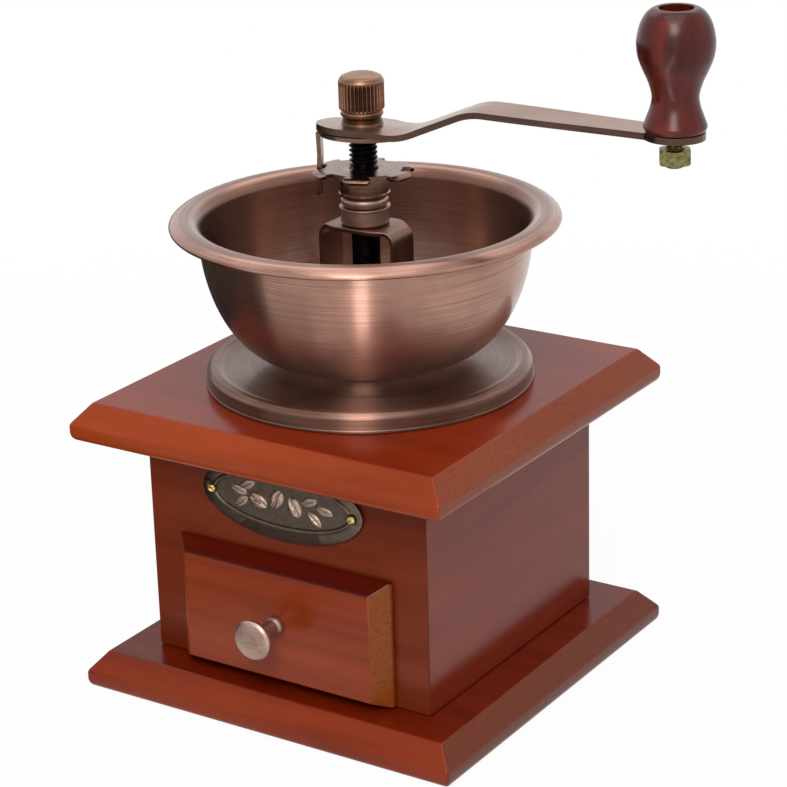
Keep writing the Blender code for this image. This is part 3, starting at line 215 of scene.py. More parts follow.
def easeEdges(piece, width, segments=3, angle=30):
    addModifier(piece, "BEVEL", width=width * mm, segments=segments, limit_method="ANGLE",
                angle_limit=math.radians(angle), use_clamp_overlap=True)
    addModifier(piece, "WEIGHTED_NORMAL", keep_sharp=False, weight=60)


def settle(piece):
    depsgraph = bpy.context.evaluated_depsgraph_get()
    mesh = bpy.data.meshes.new_from_object(piece.evaluated_get(depsgraph))
    piece.modifiers.clear()
    piece.data = mesh


def thicken(piece, sheet, edge, segments):  # a surface becomes sheet metal with eased edges
    addModifier(piece, "SOLIDIFY", thickness=sheet * mm, offset=0, use_even_offset=True)
    settle(piece)
    piece.data.shade_smooth()
    easeEdges(piece, edge, segments, 50)


def carve(piece, tool):
    addModifier(piece, "BOOLEAN", operation="DIFFERENCE", solver="EXACT", object=tool)
    settle(piece)
    bpy.data.objects.remove(tool, do_unlink=True)


def cutSlot(piece, spec, x=0, turn=0):  # a screwdriver's slot across the top
    outline = rectangle(spec["slotReach"], spec["halfSlot"], x)
    tool = prism("slotTool", outline, spec["slotFloor"], spec["slotTop"], piece.data.materials[0])
    tool.data.transform(Matrix.Rotation(math.radians(turn), 4, "Z"))
    carve(piece, tool)


def faceFront(piece, spot):  # what stood upright on the origin points to the front from this spot
    turn = Matrix.Rotation(math.radians(90), 4, "X")
    piece.data.transform(Matrix.Translation([value * mm for value in spot]) @ turn)


def place(piece, body, slot, *replaced):
    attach(piece, body)
    if replaced:
        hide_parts(*replaced)


# Camera: about 0.8 m away and 21 degrees above the table

cameraSpec = {
    "location": (0.399025, -0.590824, 0.349409),
    "right": (0.839078, 0.543317, -0.027455),
    "up": (-0.168695, 0.307842, 0.936363),
    "back": (0.517194, -0.781050, 0.349959),
    "lens": 120.12, "sensor": 36, "nearest": 0.01,
}


def makeCamera():
    s = cameraSpec
    data = bpy.data.cameras.new("camera")
    data.lens, data.sensor_width, data.clip_start = s["lens"], s["sensor"], s["nearest"]
    camera = bpy.data.objects.new("camera", data)
    columns = [Vector(s[key]).normalized() for key in ("right", "up", "back")]
    turn = Matrix(columns).transposed().to_4x4()
    camera.matrix_world = Matrix.Translation(s["location"]) @ turn
    bpy.context.scene.collection.objects.link(camera)
    bpy.context.scene.camera = camera


makeCamera()
print("grinder: camera set")


# Woods

# what the boards share: fine short pores, broad soft bands, and no painted shade on the level faces
boardGrain = {"poreWidth": 0.35, "poreLength": 7.0, "bandWidth": 9.0,
              "levelShadeTint": "#FFFFFF", "levelShadeFrom": 0.80}
woodSpecs = {
    # rubberwood boards stained red-brown under satin lacquer: even in colour, with speckled end grain and
    # painted shade, darker and redder, on the level faces
    "board": {**boardGrain, "light": "#A03E15", "mid": "#963910", "dark": "#88310B", "end": "#8C3E1C",
              "endDark": "#702C10", "roughness": 0.22, "specular": 0.20, "levelShadeTint": "#E4BEC8"},
    # the same under the box, darker all over and on its level faces: painted shade for the box's
    # shadow and the dimmer light low down
    "base": {**boardGrain, "light": "#8E320B", "mid": "#832B08", "dark": "#732304", "end": "#743218",
             "endDark": "#5C240E", "roughness": 0.22, "specular": 0.20, "levelShadeTint": "#D9BCCC"},
    # the same on the front and back of the box, darker as painted shade for walls turned from the light,
    # with a duller lacquer
    "panel": {**boardGrain, "light": "#7C3318", "mid": "#742C13", "dark": "#68250E", "end": "#74321B",
              "endDark": "#5C2412", "roughness": 0.26, "specular": 0.14, "bandWidth": 8.0},
    # the same on its two sides, darker and redder as painted shade for walls turned from the light,
    # with more gloss
    "side": {**boardGrain, "light": "#862C10", "mid": "#7E270D", "dark": "#732109", "end": "#702E18",
             "endDark": "#5A2210", "roughness": 0.20, "specular": 0.25, "bandWidth": 8.0},
    # the same on the drawer's face, with painted shade darkening its long bevels under the top board
    "drawer": {**boardGrain, "light": "#953B18", "mid": "#8A3412", "dark": "#7C2C0D", "end": "#8A4212",
               "endDark": "#662A0A", "roughness": 0.24, "specular": 0.24, "poreLength": 8.0,
               "bandWidth": 7.0, "levelShadeTint": "#A47070", "levelShadeFrom": 0.30},
    # bare planed pine: pale and matte, with soft growth lines
    "pine": {**boardGrain, "light": "#D8B98C", "mid": "#C9A472", "dark": "#A97F4E", "end": "#BC9663",
             "endDark": "#8E6A40", "roughness": 0.62, "specular": 0.5, "poreWidth": 0.5, "poreLength": 20.0,
             "bandWidth": 4.0},
    # beech turned and stained oxblood under gloss lacquer: nearly black-red, with fine grain along the grip
    "grip": {**boardGrain, "light": "#661C0E", "mid": "#4A0F08", "dark": "#340905", "end": "#4A1009",
             "endDark": "#2A0605", "roughness": 0.25, "specular": 0.30, "poreWidth": 0.4, "poreLength": 3.0,
             "bandWidth": 5.0},
}
woodPattern = {"bandLength": 90, "dotSize": 0.9, "speckSize": 0.7, "poreDepth": 0.03}  # millimetres


def woodMaterial(name, spec, grain):
    material, tree, shader = newMaterial(name, {
        "Roughness": spec["roughness"], "IOR": 1.5, "Specular IOR Level": spec["specular"]})
    add = partial(addNode, tree)
    coords = add("TexCoord")
    where = {"Vector": coords.outputs["Object"]}
    along = "XYZ".index(grain)
    stretch = lambda length, width: tuple(1 / ((length if i == along else width) * mm) for i in range(3))
    bands = add("Mapping", {"Scale": stretch(woodPattern["bandLength"], spec["bandWidth"])}, where)
    bandNoise = add("TexNoise", {"Scale": 1.0, "Detail": 3.0, "Distortion": 0.4}, {"Vector": bands})
    pores = add("Mapping", {"Scale": stretch(spec["poreLength"], spec["poreWidth"])}, where)
    poreNoise = add("TexNoise", {"Scale": 1.0, "Detail": 2.0, "Roughness": 0.6}, {"Vector": pores})
    bandRamp = add("ValToRGB",
                   {"stops": [(0.30, spec["dark"]), (0.48, spec["mid"]), (0.70, spec["light"])]},
                   {"Fac": bandNoise})
    poreShare = add("MapRange", {"From Min": 0.56, "From Max": 0.72, "To Max": 0.4}, {"Value": poreNoise})
    withPores = add("Mix", {"data_type": "RGBA", 7: hexColor(spec["dark"])}, {0: poreShare, 6: bandRamp})
    # end grain shows as dense dark dots where the surface faces along the grain
    dots = add("TexVoronoi", {"Scale": 1 / (woodPattern["dotSize"] * mm), "Randomness": 1.0}, where)
    speck = add("TexNoise", {"Scale": 1 / (woodPattern["speckSize"] * mm), "Detail": 2.0}, where)
    dotMix = add("Math", {"operation": "MULTIPLY_ADD", 1: 0.55}, {0: dots, 2: speck})
    endRamp = add("ValToRGB", {"stops": [(0.42, spec["endDark"]), (0.74, spec["end"])]}, {"Fac": dotMix})
    normal = add("SeparateXYZ", None, {"Vector": coords.outputs["Normal"]})
    facing = add("Math", {"operation": "ABSOLUTE"}, {0: normal.outputs[along]})
    endShare = add("MapRange", {"From Min": 0.5, "From Max": 0.68}, {"Value": facing})
    color = add("Mix", {"data_type": "RGBA"}, {0: endShare, 6: withPores.outputs[2], 7: endRamp})
    # painted shade: level faces are darkened by the level shade tint
    level = add("Math", {"operation": "ABSOLUTE"}, {0: normal.outputs["Z"]})
    levelShadeShare = add("MapRange",
                     {"From Min": spec["levelShadeFrom"], "From Max": spec["levelShadeFrom"] + 0.15},
                     {"Value": level})
    levelShaded = add("Mix",
                  {"data_type": "RGBA", "blend_type": "MULTIPLY", 7: hexColor(spec["levelShadeTint"])},
                  {0: levelShadeShare, 6: color.outputs[2]})
    bump = add("Bump",
               {"Strength": 0.2, "Distance": woodPattern["poreDepth"] * mm, "invert": True},
               {"Height": poreShare})
    linkInputs(tree, shader, {"Base Color": levelShaded.outputs[2], "Normal": bump})
    return material


boardWood = woodMaterial("lacqueredRubberwoodBoard", woodSpecs["board"], "X")
baseWood = woodMaterial("lacqueredRubberwoodBaseShaded", woodSpecs["base"], "X")
panelWoodX = woodMaterial("lacqueredRubberwoodPanelShadedAlongX", woodSpecs["panel"], "X")
panelWoodY = woodMaterial("lacqueredRubberwoodPanelShadedAlongY", woodSpecs["side"], "Y")
drawerWood = woodMaterial("lacqueredRubberwoodDrawer", woodSpecs["drawer"], "X")
pineX = woodMaterial("planedPineAlongX", woodSpecs["pine"], "X")
pineY = woodMaterial("planedPineAlongY", woodSpecs["pine"], "Y")
gripWood = woodMaterial("turnedStainedBeech", woodSpecs["grip"], "Z")


# Metals

# what the brushed parts share: the width and length of a brush line in millimetres, and no painted shade
brushLines = {"streak": 0.24, "streakLength": 34.0, "bump": 0.04,
              "sideShadeTint": "#FFFFFF", "insideShadeTint": "#FFFFFF", "levelShadeTint": "#FFFFFF"}
# antique copper plate on small turned and pressed parts: duller and darker, with short brush lines,
# and faint painted shade on upright sides and flat tops
dullCopper = {**brushLines, "bright": "#A58270", "mid": "#866758", "dark": "#604739", "roughness": 0.24,
              "coat": 0.1, "streak": 0.22, "streakLength": 9.0, "anisotropic": 0.2, "bump": 0.03,
              "sideShadeTint": "#DCD8D4", "levelShadeTint": "#F0ECEC"}
metalSpecs = {
    # copper plate on pressed steel, darkened, brushed as it spun and clear lacquered: a greyed warm brown
    # whose highlights stretch across fine brush lines, under a thin neutral gloss, with painted shade on the
    # hollow side and on flat tops
    "copper": {**brushLines, "bright": "#BC927E", "mid": "#A37A6A", "dark": "#875F4F", "roughness": 0.31,
               "coat": 0.4, "anisotropic": 0.93, "insideShadeTint": "#BDB3AF", "levelShadeTint": "#CDC7C7"},
    # the same on the wide foot below the bowl, darker as painted shade under the bowl, with a softer shine,
    # and faint painted shade on its upright sides and flat tops
    "foot": {**brushLines, "bright": "#9A7463", "mid": "#815E51", "dark": "#644639", "roughness": 0.42,
             "coat": 0.3, "anisotropic": 0.97, "sideShadeTint": "#D2CCC8", "levelShadeTint": "#D6D2D0"},
    # the crank's strip, brushed lengthways, its upright edges darkened by painted shade
    "strip": {**brushLines, "bright": "#A88372", "mid": "#93705F", "dark": "#795547", "roughness": 0.30,
              "coat": 0.3, "streakLength": 30.0, "anisotropic": 0.5, "sideShadeTint": "#96928E"},
    # bent sheet: dark brown and satin, with faint painted shade on its flat tops
    "sheet": {**dullCopper, "bright": "#8F7161", "mid": "#75594B", "dark": "#563F33", "roughness": 0.36,
              "sideShadeTint": "#FFFFFF"},
    # the knob, made pale as painted light so that its front face reads bright: pale and satin
    "knob": {**dullCopper, "bright": "#C9AC9C", "mid": "#AC8E80", "dark": "#8E7165", "roughness": 0.42,
             "sideShadeTint": "#FFFFFF"},
    # the bearing's collars, made pale as painted light so their small rounds shine broadly:
    # pale copper and satin
    "collar": {**dullCopper, "bright": "#C2A18C", "mid": "#A88876", "dark": "#84685A", "roughness": 0.40,
               "sideShadeTint": "#FFFFFF"},
    # the cap nut, paler as a painted highlight on its dome, with painted shade on its sides and, between
    # these radii, in its flutes
    "cap": {**dullCopper, "bright": "#B78F76", "mid": "#98735D", "dark": "#6E5040", "roughness": 0.40,
            "sideShadeTint": "#D8D0CC", "grooves": (5.75, 6.3), "grooveShadeTint": "#7C6C64"},
}


def brushedMetal(name, spec, lay):
    material, tree, shader = newMaterial(name, {
        "Metallic": 1.0, "Roughness": spec["roughness"], "Anisotropic": spec["anisotropic"],
        "Anisotropic Rotation": 0.25 if lay == "round" else 0.0,  # highlights stretch across the brush lines
        "Coat Weight": spec["coat"], "Coat Roughness": 0.12})
    add = partial(addNode, tree)
    coords = add("TexCoord")
    where = {"Vector": coords.outputs["Object"]}
    streak, length = spec["streak"] * mm, spec["streakLength"] * mm
    if lay == "round":  # brushed while it turned: a line keeps its radius and height all the way round
        parts = add("SeparateXYZ", None, where)
        flat = add("CombineXYZ", None, {"X": parts.outputs["X"], "Y": parts.outputs["Y"]})
        radius = add("VectorMath", {"operation": "LENGTH"}, {0: flat})
        across = add("Math", {"operation": "MULTIPLY_ADD", 1: 1.3},
                     {0: parts.outputs["Z"], 2: radius.outputs["Value"]})
        laid = add("CombineXYZ", None, {"X": parts.outputs["X"], "Y": parts.outputs["Y"], "Z": across})
        mapping = add("Mapping", {"Scale": (1 / length, 1 / length, 1 / streak)}, {"Vector": laid})
        tangent = add("Tangent", {"direction_type": "RADIAL", "axis": "Z"})
        linkInputs(tree, shader, {"Tangent": tangent})
    else:  # brushed lengthways
        mapping = add("Mapping", {"Scale": (1 / length, 1 / streak, 1 / streak)}, where)
    lines = add("TexNoise", {"Scale": 1.0, "Detail": 4.0, "Roughness": 0.6}, {"Vector": mapping})
    clouds = add("TexNoise", {"Scale": 1 / (16 * mm), "Detail": 2.0}, where)
    blend = add("Math", {"operation": "MULTIPLY_ADD", 1: 0.5}, {0: clouds, 2: lines})
    ramp = add("ValToRGB",
               {"stops": [(0.50, spec["dark"]), (0.75, spec["mid"]), (1.0, spec["bright"])]},
               {"Fac": blend})
    # painted shade: upright sides, flat tops and grooves are darkened by their shade tints
    normal = add("SeparateXYZ", None, {"Vector": coords.outputs["Normal"]})
    level = add("Math", {"operation": "ABSOLUTE"}, {0: normal.outputs["Z"]})
    upright = add("MapRange", {"From Min": 0.6, "From Max": 0.3}, {"Value": level})
    flatTopShade = add("MapRange", {"From Min": 0.95, "From Max": 0.99}, {"Value": level})
    tints = [(upright, "sideShadeTint"), (flatTopShade, "levelShadeTint")]
    if "grooves" in spec:  # painted shade darkens the grooves of a turned part
        floor, crest = spec["grooves"]
        deep = add("MapRange", {"From Min": crest * mm, "From Max": floor * mm},
                   {"Value": radius.outputs["Value"]})
        groove = add("Math", {"operation": "MULTIPLY"}, {0: deep, 1: upright})
        tints.append((groove, "grooveShadeTint"))
    if lay == "round":  # faces turned to the axis are the hollow side
        # painted shade: faces turned to the axis, the hollow side, are darkened by the inside shade tint
        outward = add("VectorMath", {"operation": "NORMALIZE"}, {0: flat})
        turned = add("VectorMath", {"operation": "DOT_PRODUCT"}, {0: coords.outputs["Normal"], 1: outward})
        inside = add("MapRange", {"From Min": -0.35, "From Max": -0.6}, {"Value": turned.outputs["Value"]})
        tints.append((inside, "insideShadeTint"))
    color = ramp
    for share, tint in tints:
        tinted = add("Mix",
                     {"data_type": "RGBA", "blend_type": "MULTIPLY", 7: hexColor(spec[tint])},
                     {0: share, 6: color})
        color = tinted.outputs[2]
    rough = add("MapRange",
                {"From Min": 0.3, "From Max": 0.75, "To Min": spec["roughness"] + 0.05,
                 "To Max": spec["roughness"] - 0.05}, {"Value": lines})
    bump = add("Bump", {"Strength": spec["bump"], "Distance": 0.02 * mm}, {"Height": lines})
    linkInputs(tree, shader, {"Base Color": color, "Roughness": rough, "Normal": bump})
    return material


copperRound = brushedMetal("brushedAntiqueCopper", metalSpecs["copper"], "round")
copperFoot = brushedMetal("brushedAntiqueCopperFootShaded", metalSpecs["foot"], "round")
copperLong = brushedMetal("brushedAntiqueCopperLengthways", metalSpecs["strip"], "long")
copperTurned = brushedMetal("turnedAntiqueCopper", dullCopper, "round")
copperSheet = brushedMetal("pressedAntiqueCopperSheet", metalSpecs["sheet"], "long")
copperKnob = brushedMetal("satinAntiqueCopperKnob", metalSpecs["knob"], "long")
copperCollar = brushedMetal("satinAntiqueCopperCollar", metalSpecs["collar"], "round")
copperCap = brushedMetal("satinAntiqueCopperCap", metalSpecs["cap"], "round")


def plainMetal(name, color, roughness, grainSize, spread, bumpSize=0.02):
    material, tree, shader = newMaterial(name, {"Metallic": 1.0, "Roughness": roughness})
    add = partial(addNode, tree)
    where = {"Vector": add("TexCoord").outputs["Object"]}
    grain = add("TexNoise", {"Scale": 1 / (grainSize * mm), "Detail": 4.0, "Roughness": 0.6}, where)
    ramp = add("ValToRGB", {"stops": [(0.35, color[0]), (0.65, color[1])]}, {"Fac": grain})
    rough = add("MapRange", {"To Min": roughness - spread, "To Max": roughness + spread}, {"Value": grain})
    bump = add("Bump", {"Strength": 0.3, "Distance": bumpSize * mm}, {"Height": grain})
    linkInputs(tree, shader, {"Base Color": ramp, "Roughness": rough, "Normal": bump})
    return material


# near black with a soft shine
blackSteel = plainMetal("blackOxideSteel", ("#0B0A0A", "#1C1917"), 0.42, 1.2, 0.1)
# grey and gritty
castIron = plainMetal("castBurrIron", ("#3A3A3C", "#66666A"), 0.55, 0.6, 0.12, bumpSize=0.06)
# pale greenish gold, uneven
yellowZinc = plainMetal("yellowPassivatedZinc", ("#5F5A35", "#928B5F"), 0.32, 1.2, 0.12)
# brown-grey and cloudy
bronzePlate = plainMetal("antiqueBronzeStamping", ("#5C5046", "#6C5E52"), 0.42, 1.6, 0.05, bumpSize=0.012)
# high spots rubbed bright
bronzeRelief = plainMetal("rubbedBronzeRelief", ("#8A7668", "#B8A090"), 0.38, 0.5, 0.1)
# bright yellow
brassPin = plainMetal("turnedBrass", ("#A8944E", "#DCCB84"), 0.28, 1.0, 0.08)
print("grinder: materials made")


# Case

boardSpec = {
    "base": (62.5, 61.5, 0), "top": (62.0, 62.0, 78),  # half width, half depth and underside
    "thickness": 11, "inset": 5.0, "drop": 5.9, "edgeRound": 2.4, "ease": 0.8, "millHole": 23.2,
    "edgeShares": [(1, 0), (0.46, 0.12), (0.13, 0.46), (0, 1.05)],  # lower edge, inwards and up
    "overrun": 2,
}


def makeBoard(name, node, wood, halfX, halfY, low, hole=0):
    s = boardSpec
    rows = [(s["edgeRound"] * inwards, s["edgeRound"] * up) for inwards, up in s["edgeShares"]]
    rows += [(0, s["thickness"] - s["drop"]), (s["inset"], s["thickness"])]
    verts = []
    for shrink, z in rows:
        x, y = halfX - shrink, halfY - shrink
        verts += [(-x, -y, low + z), (x, -y, low + z), (x, y, low + z), (-x, y, low + z)]
    board = meshPiece(name, verts, tubeFaces(len(rows), 4), wood)
    if hole:
        high = low + s["thickness"]
        carve(board, prism("holeTool", disc(hole, 96), low - s["overrun"], high + s["overrun"], wood))
        shade(board.data, 30)
    easeEdges(board, s["ease"], 3, 25)
    place(board, "housing", "lacquered_wood", node)


makeBoard("baseBoard", "base_board", baseWood, *boardSpec["base"])
makeBoard("topBoard", "top_board", boardWood, *boardSpec["top"], hole=boardSpec["millHole"])

panelSpec = {"low": 11.3, "high": 77.7, "halfWidth": 46.96, "halfDepth": 45.26, "halfOpening": 32.3,
             "openingTop": 46, "front": (-45.3, -37.3), "back": (38.3, 45.3), "side": (40, 47),
             "mitreX": (-39.96, 39.96), "mitreY": (-37.26, 38.34), "ease": 0.2}


def mitre(panel, across, face, along, end, ends):  # the inner face ends short of the outer one
    for vertex in panel.data.vertices:
        inside = abs(abs(vertex.co[across]) - face * mm) < 1e-5
        if inside and abs(abs(vertex.co[along]) - end * mm) < 1e-5:
            vertex.co[along] = (ends[0] if vertex.co[along] < 0 else ends[1]) * mm


def makePanels():
    s = panelSpec
    low, high, wide, deep, half = s["low"], s["high"], s["halfWidth"], s["halfDepth"], s["halfOpening"]
    opening = [(-half, low), (-half, s["openingTop"]), (half, s["openingTop"]), (half, low)]
    around = [(wide, low), (wide, high), (-wide, high)]
    front = prism("frontPanel", [(-wide, low)] + opening + around, *s["front"], panelWoodX, "Y")
    back = prism("backPanel", [(-wide, low)] + around, *s["back"], panelWoodX, "Y")
    for panel, node, inner in ((front, "front_panel", -s["front"][1]), (back, "back_panel", s["back"][0])):
        mitre(panel, 1, inner, 0, wide, s["mitreX"])
        easeEdges(panel, s["ease"], 2)
        place(panel, "housing", "lacquered_wood", node)
    outline = [(-deep, low), (deep, low), (deep, high), (-deep, high)]
    for side, name, node in ((-1, "leftPanel", "left_panel"), (1, "rightPanel", "right_panel")):
        panel = prism(name, outline, *sorted(side * x for x in s["side"]), panelWoodY, "X")
        mitre(panel, 0, s["side"][0], 1, deep, s["mitreY"])
        easeEdges(panel, s["ease"], 2)
        place(panel, "housing", "lacquered_wood", node)


makePanels()
print("grinder: case made")


# Drawer front, with one broad bevel all round, and its knob

drawerSpec = {"halfWidth": 36.0, "low": 11.5, "high": 49.7, "back": -45.6, "face": -51.8,
              "bevelDepth": 4.8, "bevelSide": 4.6, "bevelTop": 3.4, "bevelFoot": 2.2, "ease": 0.45}
knobSpec = {"spot": (0, -52.1, 30.6), "profile": [
    (0, 12.3, 0), (2.6, 12.25, 2), (5.3, 11.75, 1.2), (6.0, 11.0, 0.5), (6.0, 10.1, 0.5), (5.2, 9.2, 0.8),
    (3.0, 8.6, 1.4), (2.4, 7.0, 1.0), (2.3, 3.8, 2.0), (2.4, 1.9, 0.8), (2.9, 1.0, 0.5), (3.0, 0, 0.1),
    (0, 0, 0)]}


def makeDrawerFront():
    s = drawerSpec
    step = s["face"] + s["bevelDepth"]
    bevel = (s["bevelSide"], s["bevelTop"], s["bevelFoot"])
    rows = [(0, 0, 0, s["back"]), (0, 0, 0, step), (*bevel, s["face"])]
    verts = []
    for side, top, foot, y in rows:
        x, low, high = s["halfWidth"] - side, s["low"] + foot, s["high"] - top
        verts += [(-x, y, low), (x, y, low), (x, y, high), (-x, y, high)]
    front = meshPiece("drawerFront", verts, tubeFaces(len(rows), 4), drawerWood)
    easeEdges(front, s["ease"], 3, 25)
    place(front, "drawer", "lacquered_wood", "drawer_front")


def makeKnob():
    knob = lathe("drawerKnob", rounded(knobSpec["profile"], 6, False), copperKnob, 72)
    faceFront(knob, knobSpec["spot"])
    place(knob, "drawer", "antique_copper", "drawer_knob")


makeDrawerFront()
makeKnob()
print("grinder: drawer made")


# Oval plate: flat border, rolled rim, pebbled field with beans and leaves in relief

plateSpec = {
    "centre": (0, 66.1), "half": (27.0, 11.6), "back": -45.6, "steps": 120, "border": 3.7, "sharp": 50,
    # inset from the edge and height above the back, then the same for the rim from the border's inner side
    "edge": [(0.0, 0.0), (0.0, 0.75), (0.25, 1.0)],
    "rim": [(-0.5, 1.0), (-0.1, 1.45), (0.35, 1.6), (0.8, 1.4), (1.1, 0.75), (2.0, 0.7)],
}
pinSpec = {
    "offset": 23.7, "hole": 1.7, "holeFrom": 3, "holeTo": 0.9, "seat": -46.9, "slotTurn": 35,
    "slotReach": 2, "halfSlot": 0.2, "slotFloor": 0.55, "slotTop": 2,
    "profile": [(0, 1.0, 0), (0.9, 0.95, 0.6), (1.4, 0.45, 0.3), (1.4, 0, 0), (0.6, 0, 0), (0.6, -5.5, 0),
                (0, -6, 0)],
}
reliefSpec = {
    "rings": 7, "steps": 40, "seat": 0.6, "grooveWidth": 0.17,
    # spots are given across, up and turned in degrees from the plate's centre
    "Bean": {"length": 6.6, "width": 4.6, "height": 1.1, "groove": 0.75, "curve": 0.16,
             "spots": [(-1.7, 0.4, 60), (4.4, -0.6, 110), (-8.0, -0.9, 150)]},
    "Leaf": {"length": 6.4, "width": 3.0, "height": 0.6, "groove": 0.6, "curve": 0,
             "spots": [(-14.6, 1.0, 168), (-11.6, 3.1, 25), (9.4, 1.9, 20), (14.4, 0.2, -12),
                       (11.0, -3.0, -40), (-14.0, -2.4, 215)]},
}


def makePlate():
    s = plateSpec
    cx, cz = s["centre"]
    a, b = s["half"]
    rows = s["edge"] + [(s["border"] + past, height) for past, height in s["rim"]]
    verts = []
    for inset, height in rows:
        for x, z in disc(1, s["steps"]):
            verts.append((cx + (a - inset) * x, s["back"] - height, cz + (b - inset) * z))
    plate = meshPiece("ovalPlate", verts, tubeFaces(len(rows), s["steps"]), bronzePlate, s["sharp"])
    for side in (-1, 1):
        hole = disc(pinSpec["hole"], 24, cx + side * pinSpec["offset"], cz)
        carve(plate, prism("pinTool", hole, s["back"] - pinSpec["holeFrom"], s["back"] - pinSpec["holeTo"],
                           bronzePlate, "Y"))
    shade(plate.data, s["sharp"])
    place(plate, "housing", "dark_bronze", "name_plate")


def reliefPiece(name, x, z, turn, form, pointed):
    rings, steps = reliefSpec["rings"], reliefSpec["steps"]
    verts = []
    cx, cz = plateSpec["centre"]
    field = plateSpec["back"] - reliefSpec["seat"]
    for i in range(rings + 1):
        share = i / rings
        for k in range(steps):
            angle = 2 * math.pi * k / steps
            u, v = math.cos(angle) * share, math.sin(angle) * share
            if pointed:  # a leaf narrows to both tips
                v *= max(0.0, 1 - abs(math.cos(angle)) ** 3) ** 0.6
            line = v - form["curve"] * math.sin(math.pi * u)
            groove = form["groove"] * math.exp(-(line / reliefSpec["grooveWidth"]) ** 2)
            rise = form["height"] * math.sqrt(max(0.0, 1 - share ** 2)) * (1 - groove)
            px, pz = u * form["length"] / 2, v * form["width"] / 2
            verts.append((cx + x + px * math.cos(turn) - pz * math.sin(turn), field - rise,
                          cz + z + px * math.sin(turn) + pz * math.cos(turn)))
    faces = gridFaces(rings + 1, steps, True) + [tuple(range(rings * steps, (rings + 1) * steps))]
    place(meshPiece(name, verts, faces, bronzeRelief, 60), "housing", "dark_bronze")


def makeRelief():
    for kind in ("Bean", "Leaf"):
        form = reliefSpec[kind]
        for i, (x, z, turn) in enumerate(form["spots"]):
            reliefPiece(f"relief{kind}{i + 1}", x, z, math.radians(turn), form, kind == "Leaf")


def makePins():
    s = pinSpec
    cx, cz = plateSpec["centre"]
    profile = rounded(s["profile"], closed=False)
    for side, name, node in ((-1, "leftPlatePin", "left_plate_pin"),
                             (1, "rightPlatePin", "right_plate_pin")):
        pin = lathe(name, profile, brassPin, 32)
        cutSlot(pin, s, turn=s["slotTurn"] * side)
        faceFront(pin, (cx + side * s["offset"], s["seat"], cz))
        place(pin, "housing", "brass", node)


makePlate()
makeRelief()
makePins()
print("grinder: plate made")


# Cover and bowl

coverSpec = {
    "outer": 47.3, "foot": 89.3, "neck": 25.6, "neckTop": 97.2, "sheet": 1.0,
    "slope": [(26.2, 96.5), (27.4, 95.5), (29.6, 94.65), (33.0, 94.15), (38.0, 93.9), (41.8, 93.9)],
    "bead": [(42.4, 94.0, 0), (43.9, 94.75, 0.9), (45.7, 94.6, 0.9), (46.95, 93.2, 1.0), (47.05, 90.0, 0.2),
             (47.3, 89.8, 0.15)],
}
bowlSpec = {
    "floor": 97.5, "floorRadius": 25.5, "bodyRadius": 47.5, "bodyHeight": 37.7, "sheet": 1.0, "mouth": 16.8,
    "bodySteps": 24,
    "rim": [(46.5, 134.6), (46.75, 135.8), (47.35, 136.9), (48.3, 137.75), (49.6, 138.3), (51.0, 138.5),
            (52.8, 138.3), (54.2, 137.75), (55.2, 137.1), (55.6, 136.4), (55.3, 135.75), (54.4, 135.45),
            (51.2, 135.6), (49.0, 135.5), (47.8, 135.2)],
}


def makeCover():
    s = coverSpec
    skin = smoothLine([(s["neck"], s["neckTop"])] + s["slope"], 4)
    skin += rounded(s["bead"] + [(s["outer"], s["foot"], 0)], 6, False)
    inner = [(max(r, s["neck"]) - s["sheet"], z - s["sheet"]) for r, z in reversed(skin[1:-1])]
    loop = skin + [(s["outer"] - s["sheet"], s["foot"])] + inner + [(s["neck"] - s["sheet"], s["neckTop"])]
    cover = lathe("millCover", loop, copperFoot, 192, ring=True)
    place(cover, "housing", "antique_copper", "mill_cover")


def makeBowl():
    s = bowlSpec
    base, swell, top = s["floor"], s["bodyRadius"] - s["floorRadius"], s["floor"] + s["bodyHeight"]
    outer, inner = [], []
    for i in range(s["bodySteps"] + 1):
        angle = math.pi / 2 * i / s["bodySteps"]
        for line, sheet in ((outer, 0), (inner, s["sheet"])):
            line.append((s["floorRadius"] + (swell - sheet) * math.cos(angle),
                         top - (s["bodyHeight"] - sheet) * math.sin(angle)))
    loop = smoothLine(s["rim"], 6) + outer + [(s["mouth"], base), (s["mouth"], base + s["sheet"])]
    bowl = lathe("hopperBowl", loop + inner[::-1], copperRound, 192, ring=True)
    place(bowl, "housing", "antique_copper", "hopper_bowl")


makeCover()
makeBowl()
print("grinder: bowl made")


# Bracket, bearing, thrust collar and adjusting nut

bracketSpec = {"foot": 98.8, "top": 135.0, "halfSpan": 12.7, "sheet": 1.3, "halfPlate": 7.5, "halfLeg": 5.3,
               "shoulder": 6.5, "taper": 4.5, "bend": 4.0, "footBend": 2.2, "reach": 24.2, "spacing": 2.0,
               "ease": 0.3}
boreRadius = 4.3
collarSpecs = [
    # name, body, node, material and the outside's line (radius, height, corner radius)
    ("bearingBush", "housing", "bearing_bush", copperCollar, [
        (boreRadius, 140.2, 0.2), (7.25, 140.2, 0.15), (7.25, 139.75, 0.15), (6.95, 139.45, 0.2),
        (6.95, 135.7, 0.5), (6.6, 135.2, 0.2), (5.4, 135.2, 0), (5.4, 133.3, 0.1),
        (boreRadius, 133.3, 0.1)]),
    ("thrustCollar", "housing", "thrust_collar", copperCollar, [
        (boreRadius, 143.1, 0.1), (6.1, 143.1, 0.3), (6.75, 142.4, 1.0), (6.75, 141.2, 1.0),
        (6.1, 140.45, 0.3), (boreRadius, 140.45, 0.1)]),
    ("adjustingNut", "adjuster", "adjusting_nut", copperTurned, [
        (boreRadius, 149.35, 0.1), (6.95, 149.35, 0.1), (6.9, 144.35, 0.3), (7.25, 144.05, 0.15),
        (7.25, 143.5, 0.2), (6.6, 143.35, 0.1), (boreRadius, 143.35, 0.1)]),
]


